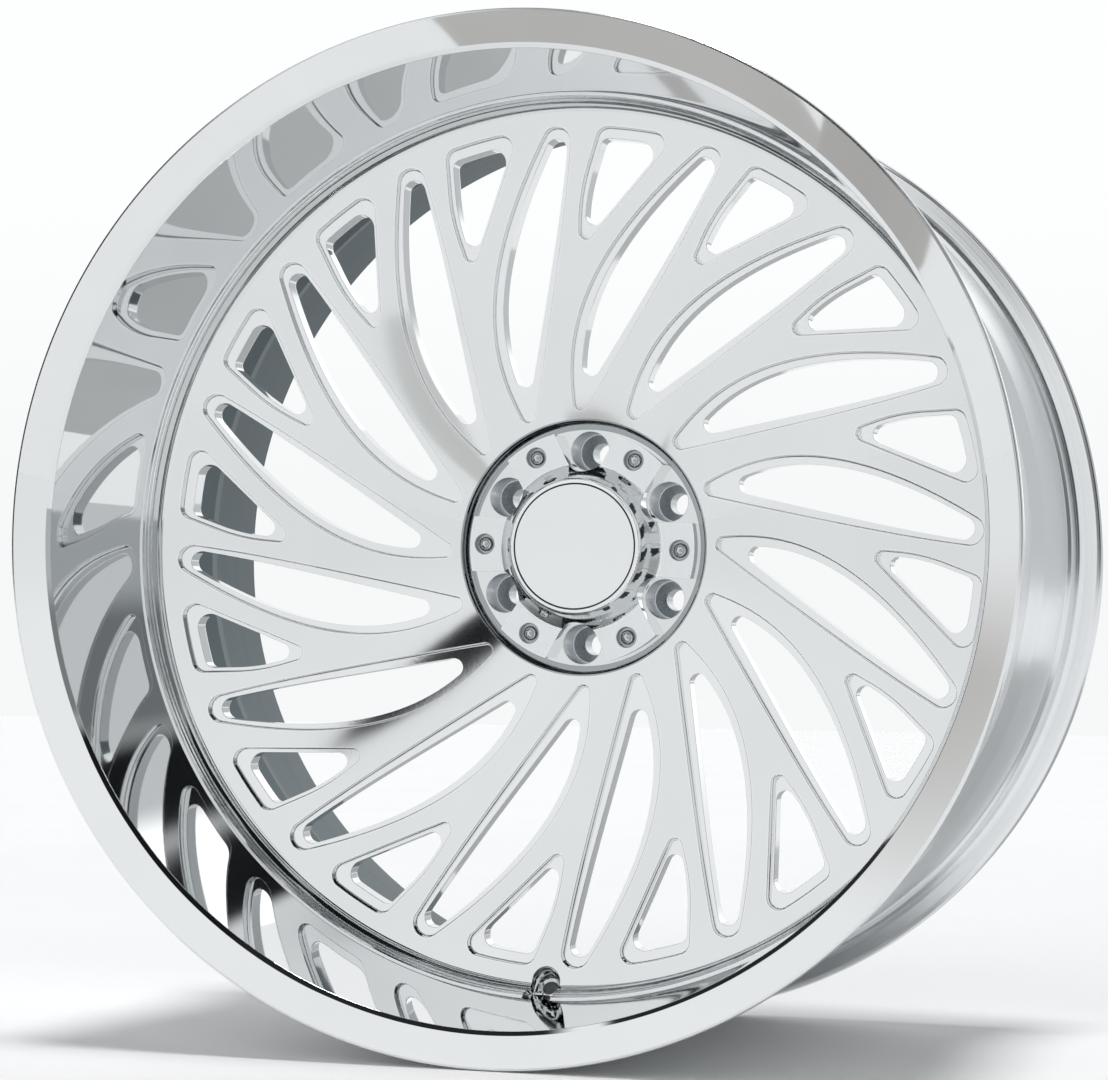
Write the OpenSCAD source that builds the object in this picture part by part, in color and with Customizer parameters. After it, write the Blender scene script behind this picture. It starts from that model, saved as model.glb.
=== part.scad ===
// Forged truck wheel, 26 x 14 in, six lugs, with a deep polished lip.
// Millimetres, +Z up, the face looks along -Y and the wheel turns about Y.
// The origin is on the axis, midway between the two tyre flanges.

/* [Rim] */
// Diameter across the tyre bead seats
bead_diameter = 665.2; // [500:0.1:820]
// Width between the tyre sides of the two flanges
rim_width = 355.6; // [240:0.1:440]
// Height of the flanges over the bead seats
flange_height = 17.3; // [14:0.1:20]
// Thickness of the flanges along the axis
flange_thickness = 12.7; // [8:0.1:16]
// Wall of the barrel, measured along a radius
barrel_wall = 7.2; // [4:0.1:12]
// Height of the safety humps over the well side of the seats
hump_height = 1.6; // [0.5:0.1:3]
// Slope of the bead seats
seat_angle = 5; // [3:0.5:8]
// How far the lip wall opens out towards the front flange
lip_flare = 7.6; // [2:0.1:12]
// How far the front flange face stands ahead of the lip corner
flange_dish = 11; // [0:0.5:14]
// Drop of the tyre well inside the disc's seat, along a radius
well_drop = 7; // [3:0.1:9]

/* [Centre disc] */
// Radius of the round cap pocket at the face
pocket_radius = 91.7; // [84:0.1:110]
// Place of the pocket's rim behind the wheel's middle plane
pocket_rim_setback = 15.7; // [0:0.1:60]
// Slope of the face, rising forward towards the lip
face_angle = 11.56; // [5:0.01:20]
// Thickness of the spokes along the axis
spoke_thickness = 19.5; // [12:0.1:30]
// Width of the plain ring left outside the windows
outer_land = 9.7; // [5:0.1:20]
// Width of the concave edge between the face and the barrel
edge_width = 8.4; // [6:0.1:12]
// Rise of the concave edge ahead of the face
edge_rise = 11.6; // [6:0.1:16]
// Thickness of the disc's outer ring behind the face edge
ring_depth = 24.4; // [18:0.1:40]

/* [Windows] */
// Number of long and short window pairs
window_pairs = 16; // [10:1:20]
// Depth of the milled pocket round each window
ledge_depth = 5.5; // [3:0.1:9]
// Width of the ledge at the outer end of the windows
ledge_outer = 3.4; // [2:0.1:6]
// Width of the ledge at the hub end of the long windows
ledge_inner = 8; // [4:0.1:10]
// Width of the ledge across the outer ends
ledge_end = 7.5; // [4:0.1:12]
// Radius of the cutter at the outer corners
corner_radius = 9; // [5:0.1:12]
// Radius of the cutter at the pointed ends
tip_radius = 5.8; // [4:0.1:8]
// Radius of the cutter for the through openings
opening_radius = 6.6; // [4:0.1:8]

/* [Hub] */
// Number of lugs
lug_count = 6; // [5:1:8]
// Diameter of the circle through the lug centres
lug_circle_diameter = 139.7; // [127:0.1:152.4]
// Diameter of the lug holes
lug_hole_diameter = 15.5; // [13:0.1:17]
// Diameter of the sockets for the lug nuts
lug_socket_diameter = 28.4; // [25:0.1:32]
// Depth of the straight part of the lug sockets
lug_socket_depth = 22; // [10:0.1:30]
// Full angle of the conical nut seats
nut_seat_angle = 60; // [60:1:90]
// Diameter of the hub centre bore
centre_bore_diameter = 106.1; // [70:0.1:112]
// Place of the lug floor behind the wheel's middle plane
lug_floor_setback = 25.9; // [10:0.1:60]
// Distance of the mounting face behind the middle plane
mount_setback = 76; // [60:0.1:120]
// Radius of the mounting pad at the back
pad_radius = 92; // [88:0.1:110]
// Width of the curve from the pad to the spokes
pad_blend = 33; // [20:0.5:50]
// Turn of the lugs, screws and valve against the windows
lug_turn = -1.8; // [-30:0.1:30]

/* [Cap] */
// Radius of the plain medallion
medallion_radius = 44.4; // [30:0.1:46]
// Thickness of the medallion
medallion_thickness = 6; // [3:0.1:10]
// Height of the cap over its feet
tower_height = 17.4; // [8:0.1:30]
// Thickness of the cap's feet over the lug floor
foot_thickness = 13.3; // [8:0.1:16]
// Radius to the outside of the feet
foot_radius = 84.3; // [80:0.1:88]
// Width of a foot at its outer end
foot_width = 40; // [30:0.1:44]
// Diameter of the circle through the cap screws
screw_circle_diameter = 146.4; // [120:0.1:150]
// Shank diameter of the cap screws
screw_diameter = 6; // [4:0.5:8]
// Head diameter of the cap screws
screw_head_diameter = 10.5; // [8:0.1:13]
// Diameter of the pockets for the screw heads
screw_pocket_diameter = 14.4; // [12:0.1:17]
// Size of the hexagon sockets across flats
screw_key = 4; // [3:0.5:6]

/* [Valve] */
// Diameter of the valve hole
valve_hole_diameter = 11.3; // [8:0.1:16]
// Diameter of the round-ended relief for the valve
valve_relief_diameter = 20.5; // [16:0.1:26]
// Slant of the valve hole from the axis, outward to the rear
valve_angle = 40; // [20:1:60]

/* [Hidden] */
seat_radius = bead_diameter / 2;
flange_radius = seat_radius + flange_height;
half_in = rim_width / 2;
half_out = half_in + flange_thickness;
// Radii of the inside of the barrel
lip_radius = seat_radius - 8;
lip_base_radius = lip_radius - lip_flare;
disc_radius = lip_base_radius - 1;
well_inner_radius = disc_radius - well_drop;
// The flat face ends here and the windows a land further in
face_radius = disc_radius - edge_width;
window_radius = face_radius - outer_land;
face_slope = tan(face_angle);
face_edge_z = -pocket_rim_setback + (face_radius - pocket_radius) * face_slope;
edge_top_z = face_edge_z + edge_rise;
ring_back_z = face_edge_z - ring_depth;
lip_base_z = edge_top_z + 10;
pitch = 360 / window_pairs;
bore_radius = centre_bore_diameter / 2;
lug_radius = lug_circle_diameter / 2;
lug_floor_z = -lug_floor_setback;
mount_z = -mount_setback;
foot_top_z = lug_floor_z + foot_thickness;
cap_top_z = foot_top_z + tower_height;
screw_radius = screw_circle_diameter / 2;
nut_seat_depth = (lug_socket_diameter - lug_hole_diameter) / 2 / tan(nut_seat_angle / 2);
// The cap's skirt centres it in a register at the front of the bore
register_radius = bore_radius + 0.9;
register_z = lug_floor_z - 10;
skirt_radius = register_radius - 0.15;
skirt_z = lug_floor_z - 5;
skirt_wall = 5;
gap_width = 0.7;
// Round clearance for the nuts keeps just outside the register and the medallion's wall
lug_clearance = lug_radius - max(register_radius, medallion_radius + gap_width + 4) - 0.2;
head_sink = 4.2;
thread_depth = 12;
// Run of the sloped bead seats along the axis
seat_run = 22;
seat_drop = seat_run * tan(seat_angle);
// The tyre well's rear end, and where the barrel is back at its full radius
well_rear_z = -60;
step_rear_z = -88;
ring_facets = 96;
eps = 0.01;

// Node to draw, or all of them

// Colours of the finishes
polish = [0.88, 0.89, 0.9];
brushed = [0.62, 0.65, 0.67];
satin = [0.8, 0.82, 0.84];
black = [0.05, 0.05, 0.05];
steel = [0.7, 0.71, 0.72];

// ---- helpers ----

// Local z runs out of the face along the axis, and local y is up
module stand() rotate([90, 0, 0]) children();

function mix(a, b, t) = a + (b - a) * t;

// Height of the face over the middle plane at a radius
function face_z(r) = -pocket_rim_setback + (r - pocket_radius) * face_slope;

// Point on a cubic curve with four control points
function cubic(p, t) =
  let (u = 1 - t)
  u * u * u * p[0] + 3 * u * u * t * p[1] + 3 * u * t * t * p[2] + t * t * t * p[3];

// Control points are [share of the way out, share of a pitch round from the top]
function spot(q) =
  let (
    r = mix(pocket_radius, window_radius, q[0]),
    a = 90 + q[1] * pitch
  )
  [r * cos(a), r * sin(a)];

function side_point(p, t) = spot(cubic(p, t));

// Width of the ledge at a radius
function ledge_width(r) =
  let (share = (r - pocket_radius) / (window_radius - pocket_radius))
  mix(ledge_inner, ledge_outer, min(1, max(0, share)));

function unit(v) = v / norm(v);

function turned(v) = [-v[1], v[0]];

// Point moved off a side into the window by the ledge width
function ledge_point(p, t, hand) =
  let (
    c = side_point(p, t),
    d = unit(side_point(p, t + 0.01) - side_point(p, t - 0.01))
  )
  c + hand * ledge_width(norm(c)) * turned(d);

// Where the line a-b meets the line c-d
function meet(a, b, c, d) =
  let (
    u = b - a,
    n = turned(d - c)
  )
  a + u * ((c - a) * n) / (u * n);

// Corner at b of the lines a-b and b-c when both move inward, to the right of travel
function inset_corner(a, b, c, w1, w2) =
  let (
    m = -turned(unit(b - a)),
    n = -turned(unit(c - b))
  )
  meet(a + w1 * m, b + w1 * m, b + w2 * n, c + w2 * n);

// Half the inside angle at corner b
function half_angle(a, b, c) = acos(unit(a - b) * unit(c - b)) / 2;

// Radius of the circle that fills corner b and reaches out to a given radius
function filling_radius(a, b, c, reach) =
  let (lean = unit(unit(a - b) + unit(c - b)) * unit(b))
  (norm(b) - reach) / (-lean / sin(half_angle(a, b, c)) - 1);

// Points of the round that a cutter leaves in corner b of the lines a-b and b-c
function round_corner(a, b, c, r) =
  let (
    h = half_angle(a, b, c),
    centre = b + unit(unit(a - b) + unit(c - b)) * r / sin(h),
    start = b + unit(a - b) * r / tan(h) - centre,
    sweep = sign(cross(b - a, c - b)) * (180 - 2 * h),
    n = ceil(abs(sweep) / 20)
  )
  [
    for (i = [0 : n])
      let (w = sweep * i / n)
      centre + [start[0] * cos(w) - start[1] * sin(w), start[0] * sin(w) + start[1] * cos(w)]
  ];

// Flat shape with round corners; a radius of 0 leaves a corner as it is
module milled(points, radii) {
  n = len(points);
  polygon([
    for (i = [0 : n - 1])
      each (radii[i] == 0
        ? [points[i]]
        : round_corner(points[(i + n - 1) % n], points[i], points[(i + 1) % n], radii[i]))
  ]);
}

// ---- windows ----

// Sides of a long window, from the outer end to the hub end
long_left = [[1, 0.14], [0.546, 0.692], [0.307, 1.284], [-0.015, 1.175]];
long_right = [[1, -0.012], [-0.047, 0.187], [0.025, 1.375], [-0.015, 1.175]];
// Corners of a short window
short_tip = [0.569, -0.016];
short_knee = [0.784, -0.053];
short_left = -0.187;
short_right = -0.676;
left_steps = 8;
right_steps = 5;
// Share of each side's curve that the straight-ended sides use
pocket_right_end = 0.5;
opening_left_end = 0.82;
opening_right_end = 0.45;

// Closes a left and a right side with a round at each end
module long_shape(left, right, end_radius, reach) {
  nl = len(left);
  nr = len(right);
  outer = meet(left[1], left[0], right[1], right[0]);
  inner = meet(left[nl - 2], left[nl - 1], right[nr - 2], right[nr - 1]);
  milled(
    concat(
      [outer],
      [for (i = [1 : nl - 2]) left[i]],
      [inner],
      [for (i = [nr - 2 : -1 : 1]) right[i]]
    ),
    concat(
      [filling_radius(right[1], outer, left[1], reach)],
      [for (i = [1 : nl - 2]) 0],
      [end_radius],
      [for (i = [nr - 2 : -1 : 1]) 0]
    )
  );
}

module long_pocket_shape() {
  long_shape(
    [for (i = [0 : left_steps]) side_point(long_left, i / left_steps)],
    concat(
      [for (i = [0 : right_steps]) side_point(long_right, pocket_right_end * i / right_steps)],
      [side_point(long_right, 1)]
    ),
    tip_radius,
    window_radius
  );
}

module long_opening_shape() {
  n = left_steps - 1;
  m = right_steps;
  long_shape(
    [for (i = [0 : n]) ledge_point(long_left, opening_left_end * i / n, 1)],
    [for (i = [0 : m]) ledge_point(long_right, opening_right_end * i / m, -1)],
    opening_radius,
    window_radius - ledge_end
  );
}

// Corners of a short window, clockwise from the tip
short_points = concat(
  [spot(short_tip), spot(short_knee)],
  [for (i = [0 : 2]) spot([1, mix(short_left, short_right, i / 2)])]
);

module short_pocket_shape() {
  milled(short_points, [tip_radius, 0, corner_radius, 0, corner_radius]);
}

module short_opening_shape() {
  inset = [ledge_outer, ledge_outer, ledge_end, ledge_end, ledge_outer];
  n = len(short_points);
  points = [
    for (i = [0 : n - 1])
      inset_corner(
        short_points[(i + n - 1) % n],
        short_points[i],
        short_points[(i + 1) % n],
        inset[(i + n - 1) % n],
        inset[i]
      )
  ];
  milled(points, [opening_radius, 0, opening_radius, 0, corner_radius]);
}

module round_the_disc() {
  for (i = [0 : window_pairs - 1]) {
    rotate([0, 0, i * pitch]) children();
  }
}

// ---- barrel ----

module barrel_section() {
  well_outer = well_inner_radius + barrel_wall;
  polygon([
    // front flange and lip, seen from inside the dish
    [lip_radius, half_out - flange_dish],
    [lip_radius + 3, half_out - flange_dish + 2.6],
    [flange_radius - 2.2, half_out],
    [flange_radius - 0.6, half_out - 0.8],
    [flange_radius, half_out - 2.8],
    [flange_radius, half_out - 6.5],
    [flange_radius - 1.2, half_out - 9.6],
    [flange_radius - 3.6, half_in + 1],
    [seat_radius + 4.4, half_in],
    [seat_radius + 1.2, half_in - 1.4],
    [seat_radius, half_in - 4.3],
    // front bead seat and hump
    [seat_radius - seat_drop, half_in - seat_run - 3],
    [seat_radius - seat_drop + hump_height, half_in - seat_run - 6],
    [seat_radius - seat_drop + hump_height, half_in - seat_run - 8.5],
    [seat_radius - seat_drop - 1.2, half_in - seat_run - 14],
    // over the lip base and the disc, then down to the well
    [lip_base_radius + barrel_wall + 0.2, lip_base_z],
    [lip_base_radius + barrel_wall - 1.2, ring_back_z + 2],
    [lip_base_radius + barrel_wall - 2.4, ring_back_z - 3],
    [well_outer, ring_back_z - 18],
    [well_outer, well_rear_z],
    // rear hump and bead seat
    [disc_radius + barrel_wall - 1, step_rear_z],
    [seat_radius - seat_drop - 1, -half_in + seat_run + 12],
    [seat_radius - seat_drop + hump_height, -half_in + seat_run + 7],
    [seat_radius - seat_drop + hump_height, -half_in + seat_run + 5],
    [seat_radius - seat_drop, -half_in + seat_run + 2],
    [seat_radius, -half_in + 4.3],
    [seat_radius + 1.2, -half_in + 1.4],
    [seat_radius + 4.4, -half_in],
    // rear flange
    [flange_radius - 3.6, -half_in - 1],
    [flange_radius - 1.2, -half_out + 9.6],
    [flange_radius, -half_out + 6.5],
    [flange_radius, -half_out + 2],
    [flange_radius - 2, -half_out],
    [seat_radius - 2.2, -half_out],
    [seat_radius - 4.2, -half_out + 2],
    // inside, from the rear to the disc
    [disc_radius, step_rear_z + 2],
    [well_inner_radius, well_rear_z - 2],
    [well_inner_radius, ring_back_z],
    [disc_radius, ring_back_z],
    [disc_radius, lip_base_z - 10],
    [disc_radius + 0.2, lip_base_z - 8.6],
    [lip_base_radius, lip_base_z]
  ]);
}

// Round end of a cutter's section, up to its right side
function cutter_end(r, from) = [for (a = [from : 15 : 360]) [r * cos(a), r * sin(a)]];

module valve_cut() {
  relief_radius = valve_relief_diameter / 2;
  slot_radius = relief_radius - 0.25;
  height = 30;
  inner_end = window_radius - 1 + relief_radius;
  outer_end = lip_base_radius + 0.6;
  relief_z = face_edge_z - 1;
  hole_length = 44;
  rotate([0, 0, -90 + lug_turn]) {
    // hole drilled from the floor of the relief out into the tyre well
    translate([face_radius + 5.4, 0, relief_z - relief_radius])
      rotate([0, 180 - valve_angle, 0])
        translate([0, 0, -8])
          cylinder(d = valve_hole_diameter, h = hole_length, $fn = 48);
    // relief milled with a round-ended cutter, outward across the edge of the face
    translate([inner_end, 0, relief_z]) {
      rotate_extrude($fn = 48)
        polygon(concat(cutter_end(relief_radius, 270), [[relief_radius, height], [0, height]]));
      rotate([90, 0, 90]) linear_extrude(outer_end - inner_end)
        polygon(concat(cutter_end(slot_radius, 180), [[slot_radius, height], [-slot_radius, height]]));
    }
  }
}

module barrel() {
  color(brushed) stand() difference() {
    rotate_extrude($fn = ring_facets) barrel_section();
    valve_cut();
  }
}

// ---- centre disc ----

module disc_section() {
  face_hub_z = face_z(pocket_radius);
  back_start = pad_radius + pad_blend;
  polygon([
    [register_radius, lug_floor_z],
    [pocket_radius - 1.2, lug_floor_z],
    [pocket_radius - 1.2, face_hub_z - 1.2],
    [pocket_radius, face_hub_z],
    [face_radius, face_edge_z],
    [face_radius + edge_width * 0.26, face_edge_z + edge_rise * 0.11],
    [face_radius + edge_width * 0.43, face_edge_z + edge_rise * 0.3],
    [face_radius + edge_width * 0.53, face_edge_z + edge_rise * 0.6],
    [face_radius + edge_width * 0.58, edge_top_z],
    [disc_radius, edge_top_z],
    [disc_radius, ring_back_z],
    [window_radius + 3, ring_back_z],
    [window_radius - 1, face_z(window_radius) - spoke_thickness],
    [back_start, face_z(back_start) - spoke_thickness],
    for (i = [1 : 5]) blend_point(i / 6),
    [pad_radius, mount_z + 3],
    [pad_radius - 1.5, mount_z],
    [bore_radius + 2, mount_z],
    [bore_radius, mount_z + 2],
    [bore_radius, register_z],
    [register_radius, register_z]
  ]);
}

// Concave sweep from the back of the spokes down to the mounting pad
function blend_point(t) =
  let (
    from = [pad_radius + pad_blend, face_z(pad_radius + pad_blend) - spoke_thickness],
    knee = [pad_radius + 3, face_z(pad_radius) - spoke_thickness - 2],
    to = [pad_radius, mount_z + 3]
  )
  pow(1 - t, 2) * from + 2 * t * (1 - t) * knee + t * t * to;

// The layer that the pockets are milled out of
module front_layer() {
  r1 = pocket_radius - 8;
  r2 = window_radius + 4;
  rotate_extrude($fn = ring_facets) polygon([
    [r1, face_z(r1) - ledge_depth],
    [r2, face_z(r2) - ledge_depth],
    [r2, face_z(r2) + 6],
    [r1, face_z(r1) + 6]
  ]);
}

module window_pockets() {
  intersection() {
    translate([0, 0, -40]) linear_extrude(90) round_the_disc() {
      long_pocket_shape();
      short_pocket_shape();
    }
    front_layer();
  }
}

module window_openings() {
  translate([0, 0, -60]) linear_extrude(120) round_the_disc() {
    long_opening_shape();
    short_opening_shape();
  }
}

module lug_cut() {
  socket_z = lug_floor_z - lug_socket_depth;
  translate([0, 0, socket_z]) cylinder(d = lug_socket_diameter, h = lug_socket_depth + 1, $fn = 48);
  translate([0, 0, socket_z - nut_seat_depth])
    cylinder(d1 = lug_hole_diameter, d2 = lug_socket_diameter, h = nut_seat_depth, $fn = 48);
  translate([0, 0, mount_z - 1])
    cylinder(d = lug_hole_diameter, h = socket_z - nut_seat_depth - mount_z + 1 + eps, $fn = 48);
}

// Places something at each lug, or half a step round for the screws
module at_lugs(radius, step = 0) {
  for (i = [0 : lug_count - 1]) {
    rotate([0, 0, 90 + lug_turn + (i + step) * 360 / lug_count]) translate([radius, 0, 0]) children();
  }
}

module centre_disc() {
  color(polish) stand() difference() {
    rotate_extrude($fn = ring_facets) disc_section();
    window_pockets();
    window_openings();
    at_lugs(lug_radius) lug_cut();
    at_lugs(screw_radius, 0.5)
      translate([0, 0, lug_floor_z - thread_depth])
        cylinder(d = screw_diameter, h = thread_depth + 1, $fn = 32);
    valve_cut();
  }
}

// ---- welds ----

module front_weld_bead() {
  inner = face_radius + edge_width * 0.58;
  color(satin) stand() difference() {
    rotate_extrude($fn = ring_facets) polygon([
      [inner, edge_top_z],
      [disc_radius, edge_top_z],
      [disc_radius + 0.2, edge_top_z + 1.4],
      [lip_base_radius, lip_base_z],
      [lip_base_radius - 1.2, lip_base_z],
      [lip_base_radius - 1.8, lip_base_z - 2.4],
      [lip_base_radius - 2.6, lip_base_z - 3.2],
      [lip_base_radius - 2.8, lip_base_z - 5.6],
      [lip_base_radius - 3.6, lip_base_z - 6.4],
      [lip_base_radius - 3.8, lip_base_z - 8.8]
    ]);
    valve_cut();
  }
}

module rear_weld_bead() {
  color(satin) stand() rotate_extrude($fn = ring_facets) polygon([
    [well_inner_radius, ring_back_z],
    [well_inner_radius - 7, ring_back_z],
    [well_inner_radius - 6.2, ring_back_z - 2.6],
    [well_inner_radius - 3.8, ring_back_z - 5.2],
    [well_inner_radius, ring_back_z - 7]
  ]);
}

// ---- cap ----

// Gap between two feet seen from the front: round about the nut, then open to the pocket wall
module lug_slot() {
  half = 180 / lug_count;
  near = [lug_radius * cos(half), lug_radius * sin(half) - lug_clearance + 0.4];
  far = near + 1.4 * ([foot_radius, foot_width / 2] - near);
  polygon([
    along(half, [near[0], -near[1]]),
    along(-half, near),
    along(-half, far),
    along(half, [far[0], -far[1]])
  ]);
  translate([lug_radius, 0]) circle(r = lug_clearance, $fn = 64);
}

// Point p measured along and across a line that leaves the axis at angle a
function along(a, p) = [p[0] * cos(a) - p[1] * sin(a), p[0] * sin(a) + p[1] * cos(a)];

// The tower and the ring that the feet are cut from
module cap_section() {
  // Wide enough for the sloped shoulder round the medallion
  base_radius = max(bore_radius + 7, medallion_radius + gap_width + 14.9);
  recess_z = cap_top_z - medallion_thickness;
  polygon([
    [0, recess_z],
    [medallion_radius + gap_width, recess_z],
    [medallion_radius + gap_width, cap_top_z - 0.6],
    [medallion_radius + gap_width + 0.5, cap_top_z],
    [medallion_radius + gap_width + 2, cap_top_z],
    [medallion_radius + gap_width + 3.4, cap_top_z - 1.2],
    [base_radius - 8.3, cap_top_z - 5],
    [base_radius - 5.6, cap_top_z - 9.4],
    [base_radius - 2.6, cap_top_z - 13.4],
    [base_radius, foot_top_z],
    [foot_radius, foot_top_z],
    [foot_radius, lug_floor_z],
    [skirt_radius, lug_floor_z],
    [skirt_radius, skirt_z],
    [skirt_radius - skirt_wall, skirt_z],
    [skirt_radius - skirt_wall, lug_floor_z + 2],
    [medallion_radius - 5, recess_z - 6],
    [medallion_radius - 7, recess_z - 4],
    [0, recess_z - 4]
  ]);
}

module cap_body() {
  color(polish) stand() difference() {
    rotate_extrude($fn = ring_facets) cap_section();
    at_lugs(0) translate([0, 0, lug_floor_z - 1]) linear_extrude(foot_thickness + tower_height) lug_slot();
    at_lugs(screw_radius, 0.5) {
      translate([0, 0, foot_top_z - head_sink])
        cylinder(d = screw_pocket_diameter, h = head_sink + 1, $fn = 48);
      translate([0, 0, lug_floor_z - 1]) cylinder(d = screw_diameter, h = foot_thickness, $fn = 32);
    }
  }
}

module cap_medallion() {
  color(polish) stand() rotate_extrude($fn = ring_facets) polygon([
    [0, cap_top_z - medallion_thickness],
    [medallion_radius, cap_top_z - medallion_thickness],
    [medallion_radius, cap_top_z - 0.5],
    [medallion_radius - 0.5, cap_top_z],
    [0, cap_top_z]
  ]);
}

module cap_o_ring() {
  color(black) stand() rotate_extrude($fn = ring_facets)
    translate([medallion_radius, cap_top_z - 3.4]) square([gap_width, 2.6]);
}

module cap_screw(i) {
  head_z = foot_top_z - head_sink;
  head_radius = screw_head_diameter / 2;
  color(steel) stand()
    rotate([0, 0, 90 + lug_turn + (i + 0.5) * 360 / lug_count])
      translate([screw_radius, 0, 0])
        difference() {
          rotate_extrude($fn = 40) polygon([
            [0, lug_floor_z - thread_depth + 1],
            [screw_diameter / 2 - 0.8, lug_floor_z - thread_depth + 1],
            [screw_diameter / 2, lug_floor_z - thread_depth + 1.8],
            [screw_diameter / 2, head_z],
            [head_radius, head_z],
            [head_radius, head_z + 1],
            [head_radius * 0.92, head_z + 2],
            [head_radius * 0.76, head_z + 2.9],
            [head_radius * 0.55, head_z + 3.3],
            [0, head_z + 3.3]
          ]);
          translate([0, 0, head_z + 1.2]) cylinder(d = screw_key / cos(30), h = 4, $fn = 6);
        }
}

module cap_screw_1() cap_screw(0);
module cap_screw_2() cap_screw(5);
module cap_screw_3() cap_screw(4);
module cap_screw_4() cap_screw(3);
module cap_screw_5() cap_screw(2);
module cap_screw_6() cap_screw(1);

barrel();
centre_disc();
front_weld_bead();
rear_weld_bead();
cap_body();
cap_medallion();
cap_o_ring();
cap_screw_1();
cap_screw_2();
cap_screw_3();
cap_screw_4();
cap_screw_5();
cap_screw_6();
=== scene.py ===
"""Looks of a deep-lip forged truck wheel rim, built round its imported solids.

Every piece is worked out in the wheel's own frame: x to the right and y up, as seen
from the front, and z along the axis out of the face, in millimetres. The last step of
each mesh turns that into the row frame, where the face looks along -Y, in metres.
"""

from __future__ import annotations

import logging
import math
from dataclasses import dataclass, field
from enum import Enum, IntEnum
from typing import Callable, Sequence

import bmesh
import bpy
import numpy as np
from mathutils import Matrix, Vector
from mathutils.geometry import delaunay_2d_cdt

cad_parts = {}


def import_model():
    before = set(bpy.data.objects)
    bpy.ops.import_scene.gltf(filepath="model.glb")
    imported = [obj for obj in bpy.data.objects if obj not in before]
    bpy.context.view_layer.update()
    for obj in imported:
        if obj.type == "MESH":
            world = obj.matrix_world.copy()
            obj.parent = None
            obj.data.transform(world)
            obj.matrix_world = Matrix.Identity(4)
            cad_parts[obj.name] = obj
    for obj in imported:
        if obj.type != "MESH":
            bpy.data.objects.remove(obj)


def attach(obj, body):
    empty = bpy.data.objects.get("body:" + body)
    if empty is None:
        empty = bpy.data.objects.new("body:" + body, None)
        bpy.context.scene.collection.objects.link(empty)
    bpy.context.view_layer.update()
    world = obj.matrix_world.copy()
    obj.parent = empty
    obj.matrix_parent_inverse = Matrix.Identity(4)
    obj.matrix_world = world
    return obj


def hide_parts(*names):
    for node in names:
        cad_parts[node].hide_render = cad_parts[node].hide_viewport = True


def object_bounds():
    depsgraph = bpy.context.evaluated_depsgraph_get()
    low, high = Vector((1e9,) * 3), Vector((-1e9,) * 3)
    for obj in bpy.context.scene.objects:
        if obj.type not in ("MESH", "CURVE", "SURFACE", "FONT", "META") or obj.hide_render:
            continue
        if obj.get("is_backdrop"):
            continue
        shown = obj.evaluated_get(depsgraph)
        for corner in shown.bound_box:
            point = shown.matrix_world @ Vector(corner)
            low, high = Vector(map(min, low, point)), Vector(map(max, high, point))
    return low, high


LOG = logging.getLogger("wheel_rim")
ROOT_BODY = "root"
MM = 0.001
FULL_TURN = 2.0 * math.pi
# Half angle of a corner from which it counts as straight and is not rounded.
NEARLY_STRAIGHT = math.radians(89.5)
# Least cosine between a corner's own normal and the exact one that takes its place.
SAME_WAY = 0.96
# How far outside the face the concave edge of the disc's ring ends, in millimetres.
RING_EDGE = 4.9
# Height of the front weld above the disc's ring, in millimetres.
FRONT_WELD = 10.0


# ---------------------------------------------------------------------------
# Sizes, in millimetres
# ---------------------------------------------------------------------------


@dataclass(frozen=True)
class RimSizes:
    """Driving sizes of the rim, the same as those of its solids."""

    bead_diameter: float = 665.2
    rim_width: float = 355.6
    flange_height: float = 17.3
    flange_thickness: float = 12.7
    barrel_wall: float = 7.2
    seat_angle: float = 5.0
    hump_height: float = 1.6
    lip_flare: float = 7.6
    flange_dish: float = 11.0

    @property
    def seat_radius(self) -> float:
        """Radius of the bead seats."""
        return self.bead_diameter / 2

    @property
    def flange_radius(self) -> float:
        """Outer radius of the flanges."""
        return self.seat_radius + self.flange_height

    @property
    def half_in(self) -> float:
        """Half the width between the flanges."""
        return self.rim_width / 2

    @property
    def half_out(self) -> float:
        """Half the overall width."""
        return self.half_in + self.flange_thickness

    @property
    def lip_radius(self) -> float:
        """Radius of the lip's corner at the front flange."""
        return self.seat_radius - 8.0

    @property
    def lip_base_radius(self) -> float:
        """Radius of the lip wall where it starts."""
        return self.lip_radius - self.lip_flare

    @property
    def disc_radius(self) -> float:
        """Radius where the centre disc meets the barrel."""
        return self.lip_base_radius - 1.0

    @property
    def well_radius(self) -> float:
        """Inner radius of the barrel behind the disc."""
        return self.disc_radius - 7.0


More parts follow.
